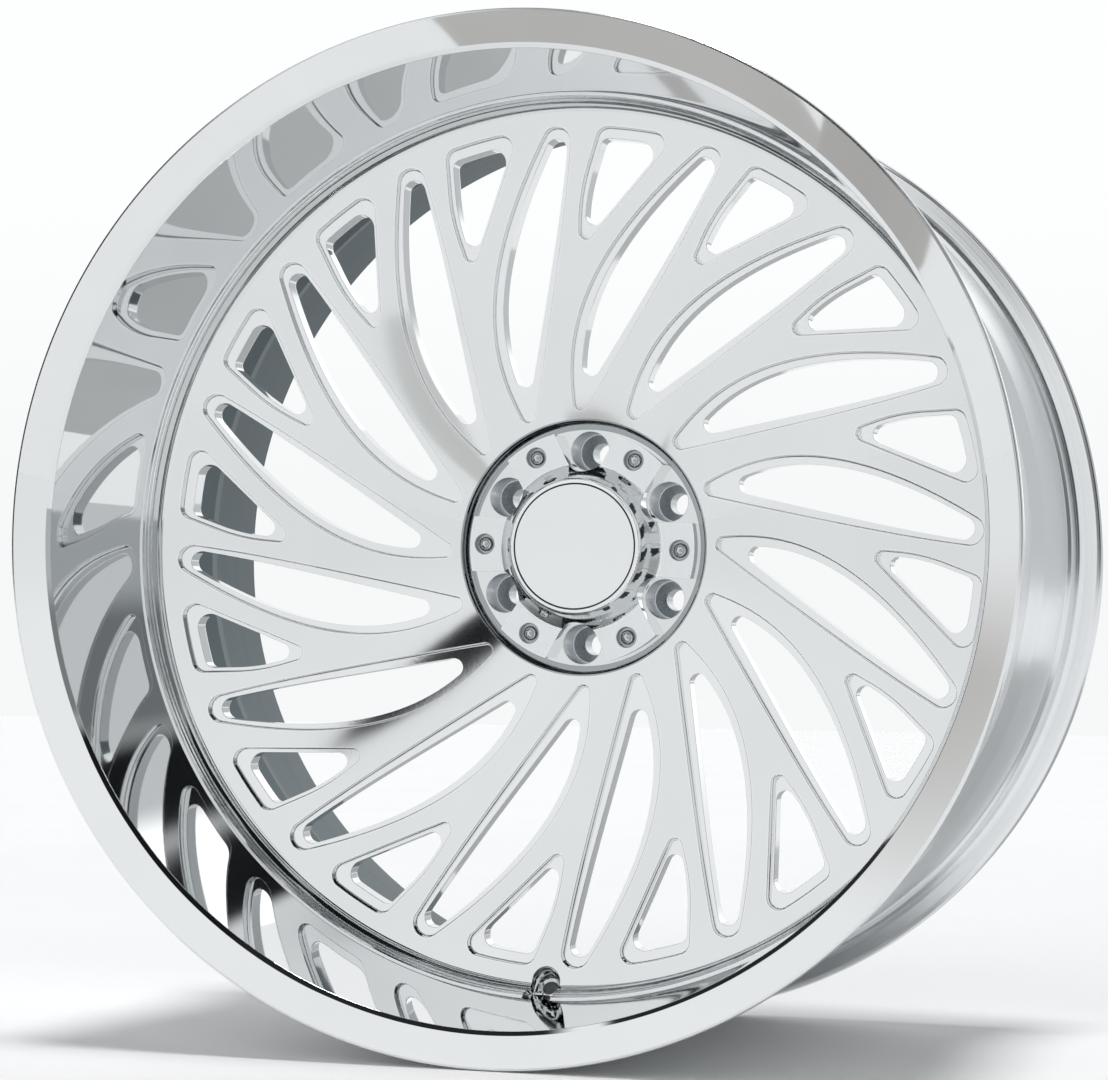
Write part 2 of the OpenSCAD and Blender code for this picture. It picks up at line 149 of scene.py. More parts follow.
@dataclass(frozen=True)
class FaceSizes:
    """Sizes of the centre disc's face and windows."""

    pocket_radius: float = 91.7
    rim_setback: float = 15.7
    face_angle: float = 11.56
    spoke_thickness: float = 19.5
    face_radius: float = 307.6
    window_radius: float = 297.9
    edge_rise: float = 11.6
    ring_depth: float = 24.4
    window_pairs: int = 16
    ledge_depth: float = 5.5
    ledge_outer: float = 3.4
    ledge_inner: float = 8.0
    ledge_end: float = 7.5
    corner_radius: float = 9.0
    tip_radius: float = 5.8
    opening_radius: float = 6.6
    pad_radius: float = 92.0
    pad_blend: float = 33.0
    pad_step: float = 3.0
    pad_chamfer: float = 1.5
    mount_setback: float = 76.0

    @property
    def slope(self) -> float:
        """Rise of the face per unit of radius."""
        return math.tan(math.radians(self.face_angle))

    @property
    def pitch(self) -> float:
        """Angle from one window pair to the next, in radians."""
        return FULL_TURN / self.window_pairs

    def front(self, radius: np.ndarray | float) -> np.ndarray | float:
        """Height of the face at a radius."""
        return -self.rim_setback + (radius - self.pocket_radius) * self.slope

    def back(self, radius: np.ndarray) -> np.ndarray:
        """Height of the disc's back at a radius: the spokes' back, then the sweep to the pad.

        The sweep is a quadratic curve between the spokes' back and the pad's edge.

        Args:
            radius: Distances from the axis.

        Returns:
            A height for each distance.
        """
        start = self.pad_radius + self.pad_blend
        knee = (self.pad_radius + 3.0, self.front(self.pad_radius) - self.spoke_thickness - 2.0)
        sweep = bent(
            (start, self.front(start) - self.spoke_thickness),
            knee,
            (self.pad_radius, self.pad_step - self.mount_setback),
            60,
        )[::-1]
        spokes = self.front(radius) - self.spoke_thickness
        return np.where(radius >= start, spokes, np.interp(radius, sweep[:, 0], sweep[:, 1]))

    @property
    def ring_top(self) -> float:
        """Height of the outer ring's front, at the foot of the lip."""
        return self.front(self.face_radius) + self.edge_rise

    @property
    def ring_low(self) -> float:
        """Height of the outer ring's back."""
        return self.front(self.face_radius) - self.ring_depth

    @property
    def back_edge(self) -> float:
        """Radius where the spokes' back meets the ring's back."""
        return self.window_radius - 2.0


@dataclass(frozen=True)
class HubSizes:
    """Sizes of the hub, the cap and the valve."""

    lug_count: int = 6
    lug_circle: float = 139.7
    lug_hole: float = 15.5
    lug_socket: float = 28.4
    socket_depth: float = 22.0
    seat_angle: float = 60.0
    centre_bore: float = 106.1
    register_radius: float = 53.95
    register_depth: float = 10.0
    floor_z: float = -25.9
    turn: float = -1.8
    medallion_radius: float = 44.4
    medallion_thickness: float = 6.0
    tower_height: float = 17.4
    foot_thickness: float = 13.3
    foot_radius: float = 84.3
    foot_width: float = 40.0
    skirt_depth: float = 5.0
    skirt_wall: float = 5.0
    screw_circle: float = 146.4
    screw_diameter: float = 6.0
    head_diameter: float = 10.5
    head_pocket: float = 14.4
    head_sink: float = 4.2
    key_size: float = 5.5
    seal_width: float = 0.7
    valve_hole: float = 11.3
    valve_relief: float = 20.5
    valve_slant: float = 40.0
    spot_sink: float = 0.6
    cove: float = 4.6
    crown_wall: float = 2.0
    skirt_play: float = 0.15
    pad_chamfer: float = 1.0

    @property
    def foot_top(self) -> float:
        """Height of the feet's tops."""
        return self.floor_z + self.foot_thickness

    @property
    def cap_top(self) -> float:
        """Height of the cap's top."""
        return self.foot_top + self.tower_height

    @property
    def bore_radius(self) -> float:
        """Radius of the hub's centre bore."""
        return self.centre_bore / 2

    @property
    def clearance(self) -> float:
        """Radius of the round clearance for a nut, in the cap."""
        return self.lug_circle / 2 - self.register_radius - 0.2

    @property
    def crown(self) -> float:
        """Radius of the cap's top between its recess and its edge."""
        return self.medallion_radius + self.seal_width + self.crown_wall

    @property
    def skirt_radius(self) -> float:
        """Outer radius of the cap's skirt."""
        return self.register_radius - self.skirt_play

    @property
    def head_seat(self) -> float:
        """Height of the floors that the cap screws' heads sit on."""
        return self.foot_top - self.head_sink

    @property
    def step(self) -> float:
        """Angle from lug to lug, in radians."""
        return FULL_TURN / self.lug_count

    def lug_angle(self, index: float) -> float:
        """Angle of a lug round from +x, in radians; halves are the screws."""
        return math.radians(90.0 + self.turn) - index * self.step

    def spot(self, circle: float, index: float) -> np.ndarray:
        """Plane point on a circle, given by its diameter, at a lug's angle."""
        return polar(np.array(circle / 2), np.array(self.lug_angle(index)))

    def lugs(self) -> list[np.ndarray]:
        """Plane points of the lug holes."""
        return [self.spot(self.lug_circle, i) for i in range(self.lug_count)]

    def screws(self) -> list[np.ndarray]:
        """Plane points of the cap screws."""
        return [self.spot(self.screw_circle, i + 0.5) for i in range(self.lug_count)]


RIM = RimSizes()
FACE = FaceSizes()
HUB = HubSizes()


# ---------------------------------------------------------------------------
# Curves
# ---------------------------------------------------------------------------


def unit(vectors: np.ndarray) -> np.ndarray:
    """Vectors of length one in the same directions."""
    return vectors / np.linalg.norm(vectors, axis=-1, keepdims=True)


def turned(vectors: np.ndarray) -> np.ndarray:
    """Plane vectors turned a quarter to the left."""
    return np.stack([-vectors[..., 1], vectors[..., 0]], axis=-1)


def bent(
    start: Sequence[float], knee: Sequence[float], end: Sequence[float], count: int
) -> np.ndarray:
    """Points of a quadratic Bezier curve: (1 - t)^2 start + 2 t (1 - t) knee + t^2 end.

    Args:
        start: Its first point.
        knee: The point it bends towards.
        end: Its last point.
        count: How many points.

    Returns:
        An array of shape (count, 2).
    """
    t = np.linspace(0.0, 1.0, count)[:, None]
    a, b, c = np.array(start), np.array(knee), np.array(end)
    return (1 - t) ** 2 * a + 2 * t * (1 - t) * b + t * t * c


def resampled(points: np.ndarray, count: int, ends: bool = True) -> np.ndarray:
    """Evenly spaced points along an open line.

    Args:
        points: The line's own points.
        count: How many to give back.
        ends: Whether the last point of the line is one of them.

    Returns:
        An array of shape (count, 2).
    """
    length = np.concatenate([[0.0], np.cumsum(np.linalg.norm(np.diff(points, axis=0), axis=1))])
    wanted = np.linspace(0.0, length[-1], count if ends else count + 1)[:count]
    return np.stack([np.interp(wanted, length, points[:, k]) for k in range(2)], axis=1)


def shifted(points: np.ndarray, distance: np.ndarray | float, closed: bool = False) -> np.ndarray:
    """A line moved to its left by a distance, which may change along it.

    Each point moves along the turned tangent, a central difference of its neighbours.

    Args:
        points: The line's points.
        distance: One distance, or one for each point.
        closed: Whether the last point is followed by the first.

    Returns:
        The moved points.
    """
    if closed:
        tangent = np.roll(points, -1, axis=0) - np.roll(points, 1, axis=0)
    else:
        tangent = np.gradient(points, axis=0)
    width = np.broadcast_to(np.asarray(distance, float), len(points))[:, None]
    return points + turned(unit(tangent)) * width


def crossing(a: np.ndarray, b: np.ndarray, near: np.ndarray) -> np.ndarray | None:
    """Where two lines cross, nearest to a given point.

    Solves a0 + s (a1 - a0) = b0 + t (b1 - b0) for every pair of segments at once.

    Args:
        a: Points of one line.
        b: Points of the other.
        near: The point that picks one crossing out of several.

    Returns:
        The crossing, or None if the lines stay apart.
    """
    p, q = a[:-1, None], b[None, :-1]
    u, v = np.diff(a, axis=0)[:, None], np.diff(b, axis=0)[None]
    across = u[..., 0] * v[..., 1] - u[..., 1] * v[..., 0]
    across = np.where(np.abs(across) < 1e-12, np.nan, across)
    gap = q - p
    s = (gap[..., 0] * v[..., 1] - gap[..., 1] * v[..., 0]) / across
    t = (gap[..., 0] * u[..., 1] - gap[..., 1] * u[..., 0]) / across
    hit = (s >= 0) & (s <= 1) & (t >= 0) & (t <= 1)
    if not hit.any():
        return None
    spots = (p + s[..., None] * u)[hit]
    return spots[np.argmin(np.linalg.norm(spots - near, axis=1))]


@dataclass
class Corner:
    """The round that a cutter leaves between two sides of a window.

    Attributes:
        radius: The cutter's radius.
        reach: If set, the radius is found so that the round reaches this far out.
        steps: Points along the round.
        search: Smallest and largest radius tried for a reach.
        halvings: How often that range is halved.
    """

    radius: float
    reach: float | None = None
    steps: int = 15
    search: tuple[float, float] = (2.0, 16.0)
    halvings: int = 24

    def centre(self, before: np.ndarray, after: np.ndarray) -> tuple[np.ndarray, float]:
        """Finds the circle that touches both sides from inside.

        Args:
            before: The side that ends at the corner.
            after: The side that starts there.

        Returns:
            Its centre and its radius.
        """
        near = (before[-1] + after[0]) / 2

        def at(radius: float) -> np.ndarray | None:
            """Centre of a circle of this radius, where both shifted sides cross."""
            return crossing(shifted(before, radius), shifted(after, radius), near)

        if self.reach is None:
            found = at(self.radius)
            if found is None:
                raise ValueError(f"no round of {self.radius} mm fits here")
            return found, self.radius
        low, high = self.search
        for _ in range(self.halvings):
            middle = (low + high) / 2
            spot = at(middle)
            beyond = spot is None or np.linalg.norm(spot) + middle > self.reach
            low, high = (middle, high) if beyond else (low, middle)
        return at(high), high


@dataclass
class WindowLoop:
    """A closed outline of sides joined by rounds, counter-clockwise.

    Attributes:
        sides: Open lines in order, each with the inside on its left.
        corners: The round after each side.
        counts: Points along each side.
    """

    sides: list[np.ndarray]
    corners: list[Corner]
    counts: list[int]

    def points(self) -> np.ndarray:
        """Points of the outline: every side trimmed to its rounds, then the round.

        Returns:
            An array of shape (points, 2).
        """
        following = [*self.sides[1:], self.sides[0]]
        centres = [
            corner.centre(side, after)[0]
            for corner, side, after in zip(self.corners, self.sides, following)
        ]
        out = []
        for i, side in enumerate(self.sides):
            start, stop = self._nearest(side, centres[i - 1]), self._nearest(side, centres[i])
            out.append(resampled(side[start : stop + 1], self.counts[i], ends=False))
            touch = following[i][self._nearest(following[i], centres[i])]
            out.append(self._round(centres[i], side[stop], touch, self.corners[i].steps))
        return np.concatenate(out)

    @staticmethod
    def _nearest(line: np.ndarray, place: np.ndarray) -> int:
        """Number of the line's point nearest to a place."""
        return int(np.argmin(np.linalg.norm(line - place, axis=1)))

    @staticmethod
    def _round(centre: np.ndarray, start: np.ndarray, stop: np.ndarray, steps: int) -> np.ndarray:
        """Points of an arc, from start round to just before stop.

        Args:
            centre: Its centre.
            start: Its first point.
            stop: The point that it stops short of.
            steps: How many points.

        Returns:
            An array of shape (steps, 2).
        """
        a, b = start - centre, stop - centre
        first = math.atan2(a[1], a[0])
        sweep = (math.atan2(b[1], b[0]) - first) % FULL_TURN
        share = np.arange(steps) / steps
        radius = np.linalg.norm(a) * (1 - share) + np.linalg.norm(b) * share
        return centre + polar(radius, first + sweep * share)


def polar(radius: np.ndarray, angle: np.ndarray) -> np.ndarray:
    """Plane points from radii and angles round from +x."""
    return np.stack([radius * np.cos(angle), radius * np.sin(angle)], axis=-1)


def ring(radius: float, count: int, phase: float = 0.0) -> np.ndarray:
    """Evenly spaced points round a circle."""
    angle = phase + np.arange(count) * FULL_TURN / count
    return polar(np.full(count, radius), angle)


def spun(points: np.ndarray, angle: float) -> np.ndarray:
    """Points turned about the axis; a third coordinate is kept.

    Args:
        points: Points with two or three coordinates.
        angle: The turn from +x towards +y, in radians.

    Returns:
        The turned points.
    """
    c, s = math.cos(angle), math.sin(angle)
    out = points.copy()
    out[..., 0] = points[..., 0] * c - points[..., 1] * s
    out[..., 1] = points[..., 0] * s + points[..., 1] * c
    return out


def filleted(
    corners: list[tuple[float, float, float]], step: float = 9.0, hold: float = 0.12
) -> np.ndarray:
    """A profile whose corners are rounded.

    Args:
        corners: Radius, height and fillet radius of each corner; the ends keep theirs sharp.
        step: Largest turn between points of a fillet, in degrees.
        hold: Length of the flat stretch kept beside each fillet, so that shading stays flat.

    Returns:
        Points (radius, height) along the profile.
    """
    spots = np.array([c[:2] for c in corners], float)
    out = [spots[:1]]
    for i in range(1, len(spots) - 1):
        b, r = spots[i], corners[i][2]
        u, v = unit(spots[i - 1] - b), unit(spots[i + 1] - b)
        half = math.acos(float(np.clip(u @ v, -1, 1))) / 2
        if r <= 0 or half > NEARLY_STRAIGHT:
            out.append(b[None])
            continue
        sides = np.linalg.norm(spots[i - 1] - b), np.linalg.norm(spots[i + 1] - b)
        room = 0.49 * min(sides) - hold
        r = min(r, max(room, 0.01) * math.tan(half))
        length = r / math.tan(half)
        centre = b + unit(u + v) * r / math.sin(half)
        first, last = b + u * length - centre, b + v * length - centre
        sweep = math.atan2(first[0] * last[1] - first[1] * last[0], float(first @ last))
        number = max(2, math.ceil(abs(math.degrees(sweep)) / step))
        turn = sweep * np.linspace(0, 1, number + 1)
        arc = centre + np.stack(
            [
                first[0] * np.cos(turn) - first[1] * np.sin(turn),
                first[0] * np.sin(turn) + first[1] * np.cos(turn),
            ],
            axis=1,
        )
        out += [(b + u * (length + hold))[None], arc, (b + v * (length + hold))[None]]
    out.append(spots[-1:])
    return np.concatenate(out)


# ---------------------------------------------------------------------------
# Meshes
# ---------------------------------------------------------------------------


@dataclass
class Skin:
    """Faces gathered from grids and flat fills, with a material index each.

    Attributes:
        vertices: Blocks of points in the wheel's frame.
        faces: Blocks of faces, as lists of corner numbers.
        finish: Material index of each block's faces.
        total: Number of points so far.
    """

    vertices: list[np.ndarray] = field(default_factory=list)
    faces: list[list[list[int]]] = field(default_factory=list)
    finish: list[np.ndarray] = field(default_factory=list)
    total: int = 0

    def add(self, points: np.ndarray, faces: np.ndarray, finish: np.ndarray | int = 0) -> None:
        """Adds points and the faces that use them.

        Args:
            points: Points with three coordinates, in any arrangement.
            faces: Faces as rows of numbers into these points.
            finish: One material index, or one for each face.
        """
        self.vertices.append(points.reshape(-1, 3))
        self.faces.append((np.asarray(faces) + self.total).tolist())
        self.finish.append(np.broadcast_to(np.asarray(finish, int), len(faces)))
        self.total += points.reshape(-1, 3).shape[0]

    def grid(self, rows: np.ndarray, wrap: bool = True, finish: np.ndarray | int = 0) -> None:
        """Adds a surface from points of shape (rows, columns, 3), joined round if wrap.

        Args:
            rows: The points.
            wrap: Whether the last column joins the first.
            finish: One material index, or one per strip between rows.
        """
        n, m = rows.shape[:2]
        number = np.arange(n * m).reshape(n, m)
        after = np.roll(number, -1, axis=1) if wrap else number[:, 1:]
        this = number if wrap else number[:, :-1]
        quads = np.stack([this[:-1], after[:-1], after[1:], this[1:]], axis=-1)
        index = np.broadcast_to(np.asarray(finish, int).reshape(-1, 1), quads.shape[:2])
        self.add(rows, quads.reshape(-1, 4), index.reshape(-1))

    def revolve(
        self,
        profile: Sequence[Sequence[float]],
        count: int,
        finish: np.ndarray | int = 0,
        centre: Sequence[float] = (0.0, 0.0),
    ) -> None:
        """Adds a profile carried round the axis, or round a line beside it.

        Args:
            profile: Points (radius, height).
            count: Columns round the axis.
            finish: One material index, or one per strip of the profile.
            centre: Plane point of the line that it turns about.
        """
        profile = np.asarray(profile, float)
        angle = np.arange(count) * FULL_TURN / count
        flat = polar(profile[:, :1], angle[None]) + np.asarray(centre)
        height = np.broadcast_to(profile[:, 1:2], flat.shape[:2])
        self.grid(np.concatenate([flat, height[..., None]], axis=-1), True, finish)

    def fill(
        self, flat: FlatFill, height: Callable[[np.ndarray], np.ndarray | float], finish: int = 0
    ) -> None:
        """Adds a fill, raised to a height that depends on the radius.

        Args:
            flat: The flat triangles.
            height: Gives a height for each distance from the axis.
            finish: The material index.
        """
        spots, faces = flat.triangles()
        level = np.broadcast_to(height(np.linalg.norm(spots, axis=1)), len(spots))
        self.add(np.column_stack([spots, level]), faces, finish)

    def build(self, name: str, sharp: float = 32.0) -> bpy.types.Object:
        """Makes a closed mesh object of everything added so far.

        Args:
            name: The object's name.
            sharp: Edges that turn more than this, in degrees, are shaded sharp.

        Returns:
            The object, at the origin.
        """
        local = np.concatenate(self.vertices)
        row = np.stack([local[:, 0], -local[:, 2], local[:, 1]], axis=1) * MM
        mesh = bpy.data.meshes.new(name)
        mesh.from_pydata(row.tolist(), [], [f for block in self.faces for f in block])
        mesh.polygons.foreach_set("material_index", np.concatenate(self.finish).astype(np.int32))
        closed_up(mesh)
        shade(mesh, sharp)
        return placed(name, mesh)


def placed(name: str, data: bpy.types.ID) -> bpy.types.Object:
    """A new object in the scene, with its data.

    Args:
        name: The object's name.
        data: Its mesh, light or camera.

    Returns:
        The object.
    """
    item = bpy.data.objects.new(name, data)
    bpy.context.scene.collection.objects.link(item)
    return item


def closed_up(mesh: bpy.types.Mesh, gap: float = 0.004 * MM) -> None:
    """Joins points that lie together and turns every face outwards.

    Args:
        mesh: The mesh to change.
        gap: Points nearer than this are joined, in metres.
    """
    work = bmesh.new()
    work.from_mesh(mesh)
    bmesh.ops.remove_doubles(work, verts=work.verts, dist=gap)
    bmesh.ops.dissolve_degenerate(work, edges=work.edges, dist=gap / 4)
    bmesh.ops.recalc_face_normals(work, faces=work.faces)
    open_edges = sum(1 for e in work.edges if not e.is_manifold)
    if open_edges:
        LOG.warning("%s has %d open edges", mesh.name, open_edges)
    work.to_mesh(mesh)
    work.free()


def shade(mesh: bpy.types.Mesh, sharp: float) -> None:
    """Shades a mesh smooth but for its sharp edges.

    Args:
        mesh: The mesh to shade.
        sharp: Edges that turn more than this, in degrees, stay sharp.
    """
    mesh.polygons.foreach_set("use_smooth", np.ones(len(mesh.polygons), bool))
    mesh.set_sharp_from_angle(angle=math.radians(sharp))
    mesh.update()


def combined(item: bpy.types.Object, operation: str, others: Sequence[bpy.types.Object]) -> None:
    """Joins pieces to an item, or takes them out of it, and removes them.

    Every face is made flat first, because a bent four-sided face leaves gaps in the result.

    Args:
        item: The object whose mesh is changed.
        operation: UNION or DIFFERENCE.
        others: The objects joined to it or taken out of it.
    """
    item.modifiers.new("flat_faces", "TRIANGULATE")
    for other in others:
        change = item.modifiers.new("change", "BOOLEAN")
        change.operation, change.solver, change.object = operation, "EXACT", other
    graph = bpy.context.evaluated_depsgraph_get()
    made = bpy.data.meshes.new_from_object(item.evaluated_get(graph), depsgraph=graph)
    item.modifiers.clear()
    old, item.data = item.data, made
    bpy.data.meshes.remove(old)
    for other in others:
        bpy.data.objects.remove(other)


def relieved(item: bpy.types.Object, sharp: float) -> None:
    """Takes the valve's relief and hole out of a piece and shades it again.

    Args:
        item: The piece.
        sharp: Edges that turn more than this, in degrees, are shaded sharp.
    """
    combined(item, "DIFFERENCE", [valve_cutter()])
    closed_up(item.data, 0.001 * MM)
    shade(item.data, sharp)


@dataclass(frozen=True)
class TrueSurface:
    """A surface of revolution whose exact normals are known.

    Attributes:
        height: Height over the middle plane at each radius.
        low: Smallest radius that it holds for.
        high: Largest radius that it holds for.
        outward: 1 where it faces forward, -1 where it faces back.
    """

    height: Callable[[np.ndarray], np.ndarray]
    low: float
    high: float
    outward: float = 1.0

    def normals(self, place: np.ndarray, tolerance: float) -> tuple[np.ndarray, np.ndarray]:
        """Normals at points of the row frame, in millimetres, and which points lie on it.

        The normal of z = f(r) is (-f'(r) x / r, -f'(r) y / r, 1) in the wheel's frame.

        Args:
            place: The points, shape (n, 3).
            tolerance: How far off the surface a point may lie.

        Returns:
            The normals, shape (n, 3), and a yes or no for each point.
        """
        radius = np.hypot(place[:, 0], place[:, 2])
        on = (radius > self.low) & (radius < self.high)
        on &= np.abs(-place[:, 1] - self.height(radius)) < tolerance
        rise = (self.height(radius + 0.05) - self.height(radius - 0.05)) / 0.1
        share = rise / np.maximum(radius, 1e-6)
        normal = np.stack(
            [-share * place[:, 0], -np.ones(len(place)), -share * place[:, 2]], axis=1
        )
        return unit(normal) * self.outward, on


def read(items: bpy.types.bpy_prop_collection, key: str, kind: type, width: int = 1) -> np.ndarray:
    """One property of every item of a mesh's list.

    Args:
        items: The mesh's vertices, loops, faces or corner normals.
        key: The property's name.
        kind: Type of its numbers.
        width: How many numbers each item has.

    Returns:
        An array of shape (items,), or (items, width) if width is above 1.
    """
    values = np.empty(len(items) * width, kind)
    items.foreach_get(key, values)
    return values.reshape(-1, width) if width > 1 else values


def set_normals(
    mesh: bpy.types.Mesh, surfaces: list[TrueSurface], tolerance: float = 0.012
) -> None:
    """Gives the corners that lie on exact surfaces those normals, so that they mirror evenly.

    Args:
        mesh: The mesh to change.
        surfaces: The exact surfaces.
        tolerance: How far off a surface a corner may lie, in millimetres.
    """
    normals = read(mesh.corner_normals, "vector", np.float32, 3)
    place = read(mesh.vertices, "co", np.float32, 3)
    place = place[read(mesh.loops, "vertex_index", np.int32)] / MM
    for surface in surfaces:
        exact, on = surface.normals(place, tolerance)
        near = on & (np.einsum("ij,ij->i", exact, normals) > SAME_WAY)
        normals[near] = exact[near]
    mesh.normals_split_custom_set(normals.tolist())
    mesh.update()


def inside(points: np.ndarray, loop: np.ndarray) -> np.ndarray:
    """Which points lie inside a closed loop, by counting crossings of a ray to the right.

    Args:
        points: Plane points, shape (n, 2).
        loop: Points of the loop, in order.

    Returns:
        A yes or no for each point.
    """
    x, y = points[:, None, 0], points[:, None, 1]
    x1, y1 = loop[None, :, 0], loop[None, :, 1]
    x2, y2 = np.roll(x1, -1, axis=1), np.roll(y1, -1, axis=1)
    level = (y1 > y) != (y2 > y)
    rise = np.where(y2 == y1, 1.0, y2 - y1)
    return (level & (x < (x2 - x1) * (y - y1) / rise + x1)).sum(axis=1) % 2 == 1


@dataclass
class FlatFill:
    """Triangles between an outer loop and holes, with extra points so that they stay small.

    Attributes:
        outer: The outside loop.
        holes: Loops left open.
        radii: Radii of the rings of extra points.
        spacing: Distance between the extra points round a ring.
    """

    outer: np.ndarray
    holes: list[np.ndarray]
    radii: np.ndarray
    spacing: float

    def triangles(self) -> tuple[np.ndarray, np.ndarray]:
        """Fills the outline.

        Returns:
            Points of shape (n, 2) and triangles of shape (m, 3).
        """
        loops = [self.outer, *self.holes]
        fixed = np.concatenate(loops)
        points = np.concatenate([fixed, self._extra(fixed)])
        edges, start = [], 0
        for loop in loops:
            number = np.arange(start, start + len(loop))
            edges.append(np.stack([number, np.roll(number, -1)], axis=1))
            start += len(loop)
        made = delaunay_2d_cdt(
            [Vector(p) for p in points.tolist()], np.concatenate(edges).tolist(), [], 0, 1e-6
        )
        spots = np.array([tuple(v) for v in made[0]])
        faces = np.array(made[2])
        return spots, faces[self._open(spots[faces].mean(axis=1))]

    def _open(self, points: np.ndarray) -> np.ndarray:
        """Which points lie inside the outer loop and in no hole.

        Args:
            points: Plane points, shape (n, 2).

        Returns:
            A yes or no for each point.
        """
        keep = inside(points, self.outer)
        for hole in self.holes:
            keep &= ~covered(points, hole)
        return keep

    def _extra(self, fixed: np.ndarray) -> np.ndarray:
        """Points on rings round the axis, clear of every loop.

        Args:
            fixed: The loops' own points.

        Returns:
            An array of shape (points, 2).
        """
        rings = [
            ring(r, max(12, int(FULL_TURN * r / self.spacing / 12) * 12), phase=0.37 * i)
            for i, r in enumerate(self.radii)
        ]
        spots = np.concatenate(rings)
        clear = np.full(len(spots), np.inf)
        for block in np.array_split(fixed, max(1, len(fixed) // 400)):
            away = np.linalg.norm(spots[:, None] - block[None], axis=2)
            clear = np.minimum(clear, away.min(axis=1))
        gap = 0.4 * np.min([self.spacing, *np.diff(self.radii)])
        return spots[(clear > gap) & self._open(spots)]


def covered(points: np.ndarray, loop: np.ndarray) -> np.ndarray:
    """Which points lie inside a small loop; only those in its box are looked at.

    Args:
        points: Plane points, shape (n, 2).
        loop: Points of the loop, in order.

    Returns:
        A yes or no for each point.
    """
    found = (points >= loop.min(axis=0)).all(axis=1) & (points <= loop.max(axis=0)).all(axis=1)
    found[found] = inside(points[found], loop)
    return found


# ---------------------------------------------------------------------------
# Windows
# ---------------------------------------------------------------------------


def spot(share: np.ndarray | float, turn: np.ndarray | float) -> np.ndarray:
    """Plane points at shares of the way out and shares of a pitch round from the top."""
    radius = FACE.pocket_radius + (FACE.window_radius - FACE.pocket_radius) * share
    return polar(radius, math.radians(90.0) + turn * FACE.pitch)


def side_curve(
    controls: tuple[tuple[float, float], ...], stop: float = 1.0, count: int = 260
) -> np.ndarray:
    """Points of a cubic curve whose control points are shares, as in spot().

    Args:
        controls: Four pairs of (share of the way out, share of a pitch).
        stop: Share of the curve to use.
        count: How many points.

    Returns:
        An array of shape (count, 2).
    """
    t = np.linspace(0.0, stop, count)[:, None]
    p = np.array(controls)
    ends = (1 - t) ** 3 * p[0] + t**3 * p[3]
    mixed = ends + 3 * (1 - t) ** 2 * t * p[1] + 3 * (1 - t) * t * t * p[2]
    return spot(mixed[:, 0], mixed[:, 1])


def extended(line: np.ndarray, start: float, stop: float) -> np.ndarray:
    """A line carried straight on at its ends.

    Args:
        line: The line's points.
        start: How far it goes on before its first point.
        stop: How far it goes on after its last.

    Returns:
        The longer line's points.
    """
    out = [line]
    if start:
        head = np.array([line[0] + unit(line[0] - line[1]) * start, line[0]])
        out.insert(0, resampled(head, 120, ends=False))
    if stop:
        tail = np.array([line[-1], line[-1] + unit(line[-1] - line[-2]) * stop])
        out.append(resampled(tail, 121)[1:])
    return np.concatenate(out)


def straight(*spots: np.ndarray, ease: float = 0.0) -> np.ndarray:
    """Points along straight stretches.

    Args:
        spots: The stretches' ends, in order.
        ease: Distance over which each bend is eased.

    Returns:
        Evenly spaced points.
    """
    out = [spots[0][None]]
    for before, bend, after in zip(spots, spots[1:], spots[2:]):
        a, b = bend + unit(before - bend) * ease, bend + unit(after - bend) * ease
        out.append(bent(a, bend, b, 30))
    out.append(spots[-1][None])
    return resampled(np.concatenate(out), 240)


@dataclass(frozen=True)
class WindowPlan:
    """One window's outlines, matched point by point.

    Attributes:
        pocket: Edge of the milled pocket at the face.
        opening: Edge of the hole through the ledge.
    """

    pocket: np.ndarray
    opening: np.ndarray


def ledge_width(radius: np.ndarray) -> np.ndarray:
    """Width of the ledge at a radius, from wide at the hub to narrow at the rim.

    Args:
        radius: Distances from the axis.

    Returns:
        A width for each distance.
    """
    way = FACE.window_radius - FACE.pocket_radius
    share = np.clip((radius - FACE.pocket_radius) / way, 0.0, 1.0)
    return FACE.ledge_inner + (FACE.ledge_outer - FACE.ledge_inner) * share


def long_window() -> WindowPlan:
    """The window that sweeps from the rim down beside the hub.

    Returns:
        Its outlines at the top of the wheel.
    """
    left_controls = ((1.0, 0.14), (0.546, 0.692), (0.307, 1.284), (-0.015, 1.175))
    right_controls = ((1.0, -0.012), (-0.047, 0.187), (0.025, 1.375), (-0.015, 1.175))
    counts = [28, 26]
    left = side_curve(left_controls)
    bend = side_curve(right_controls, stop=0.5, count=200)
    chord = resampled(np.array([bend[-1], left[-1]]), 60)
    right = np.concatenate([bend, chord[1:]])[::-1]
    pocket = WindowLoop(
        [extended(left, 90.0, 0.0), extended(right, 0.0, 90.0)],
        [Corner(FACE.tip_radius), Corner(0.0, reach=FACE.window_radius)],
        counts,
    )
    inner_left = side_curve(left_controls, stop=0.82)
    inner_right = side_curve(right_controls, stop=0.45)[::-1]
    inner_left = shifted(inner_left, ledge_width(np.linalg.norm(inner_left, axis=1)))
    inner_right = shifted(inner_right, ledge_width(np.linalg.norm(inner_right, axis=1)))
    opening = WindowLoop(
        [extended(inner_left, 90.0, 60.0), extended(inner_right, 60.0, 90.0)],
        [Corner(FACE.opening_radius), Corner(0.0, reach=FACE.window_radius - FACE.ledge_end)],
        counts,
    )
    return WindowPlan(pocket.points(), opening.points())


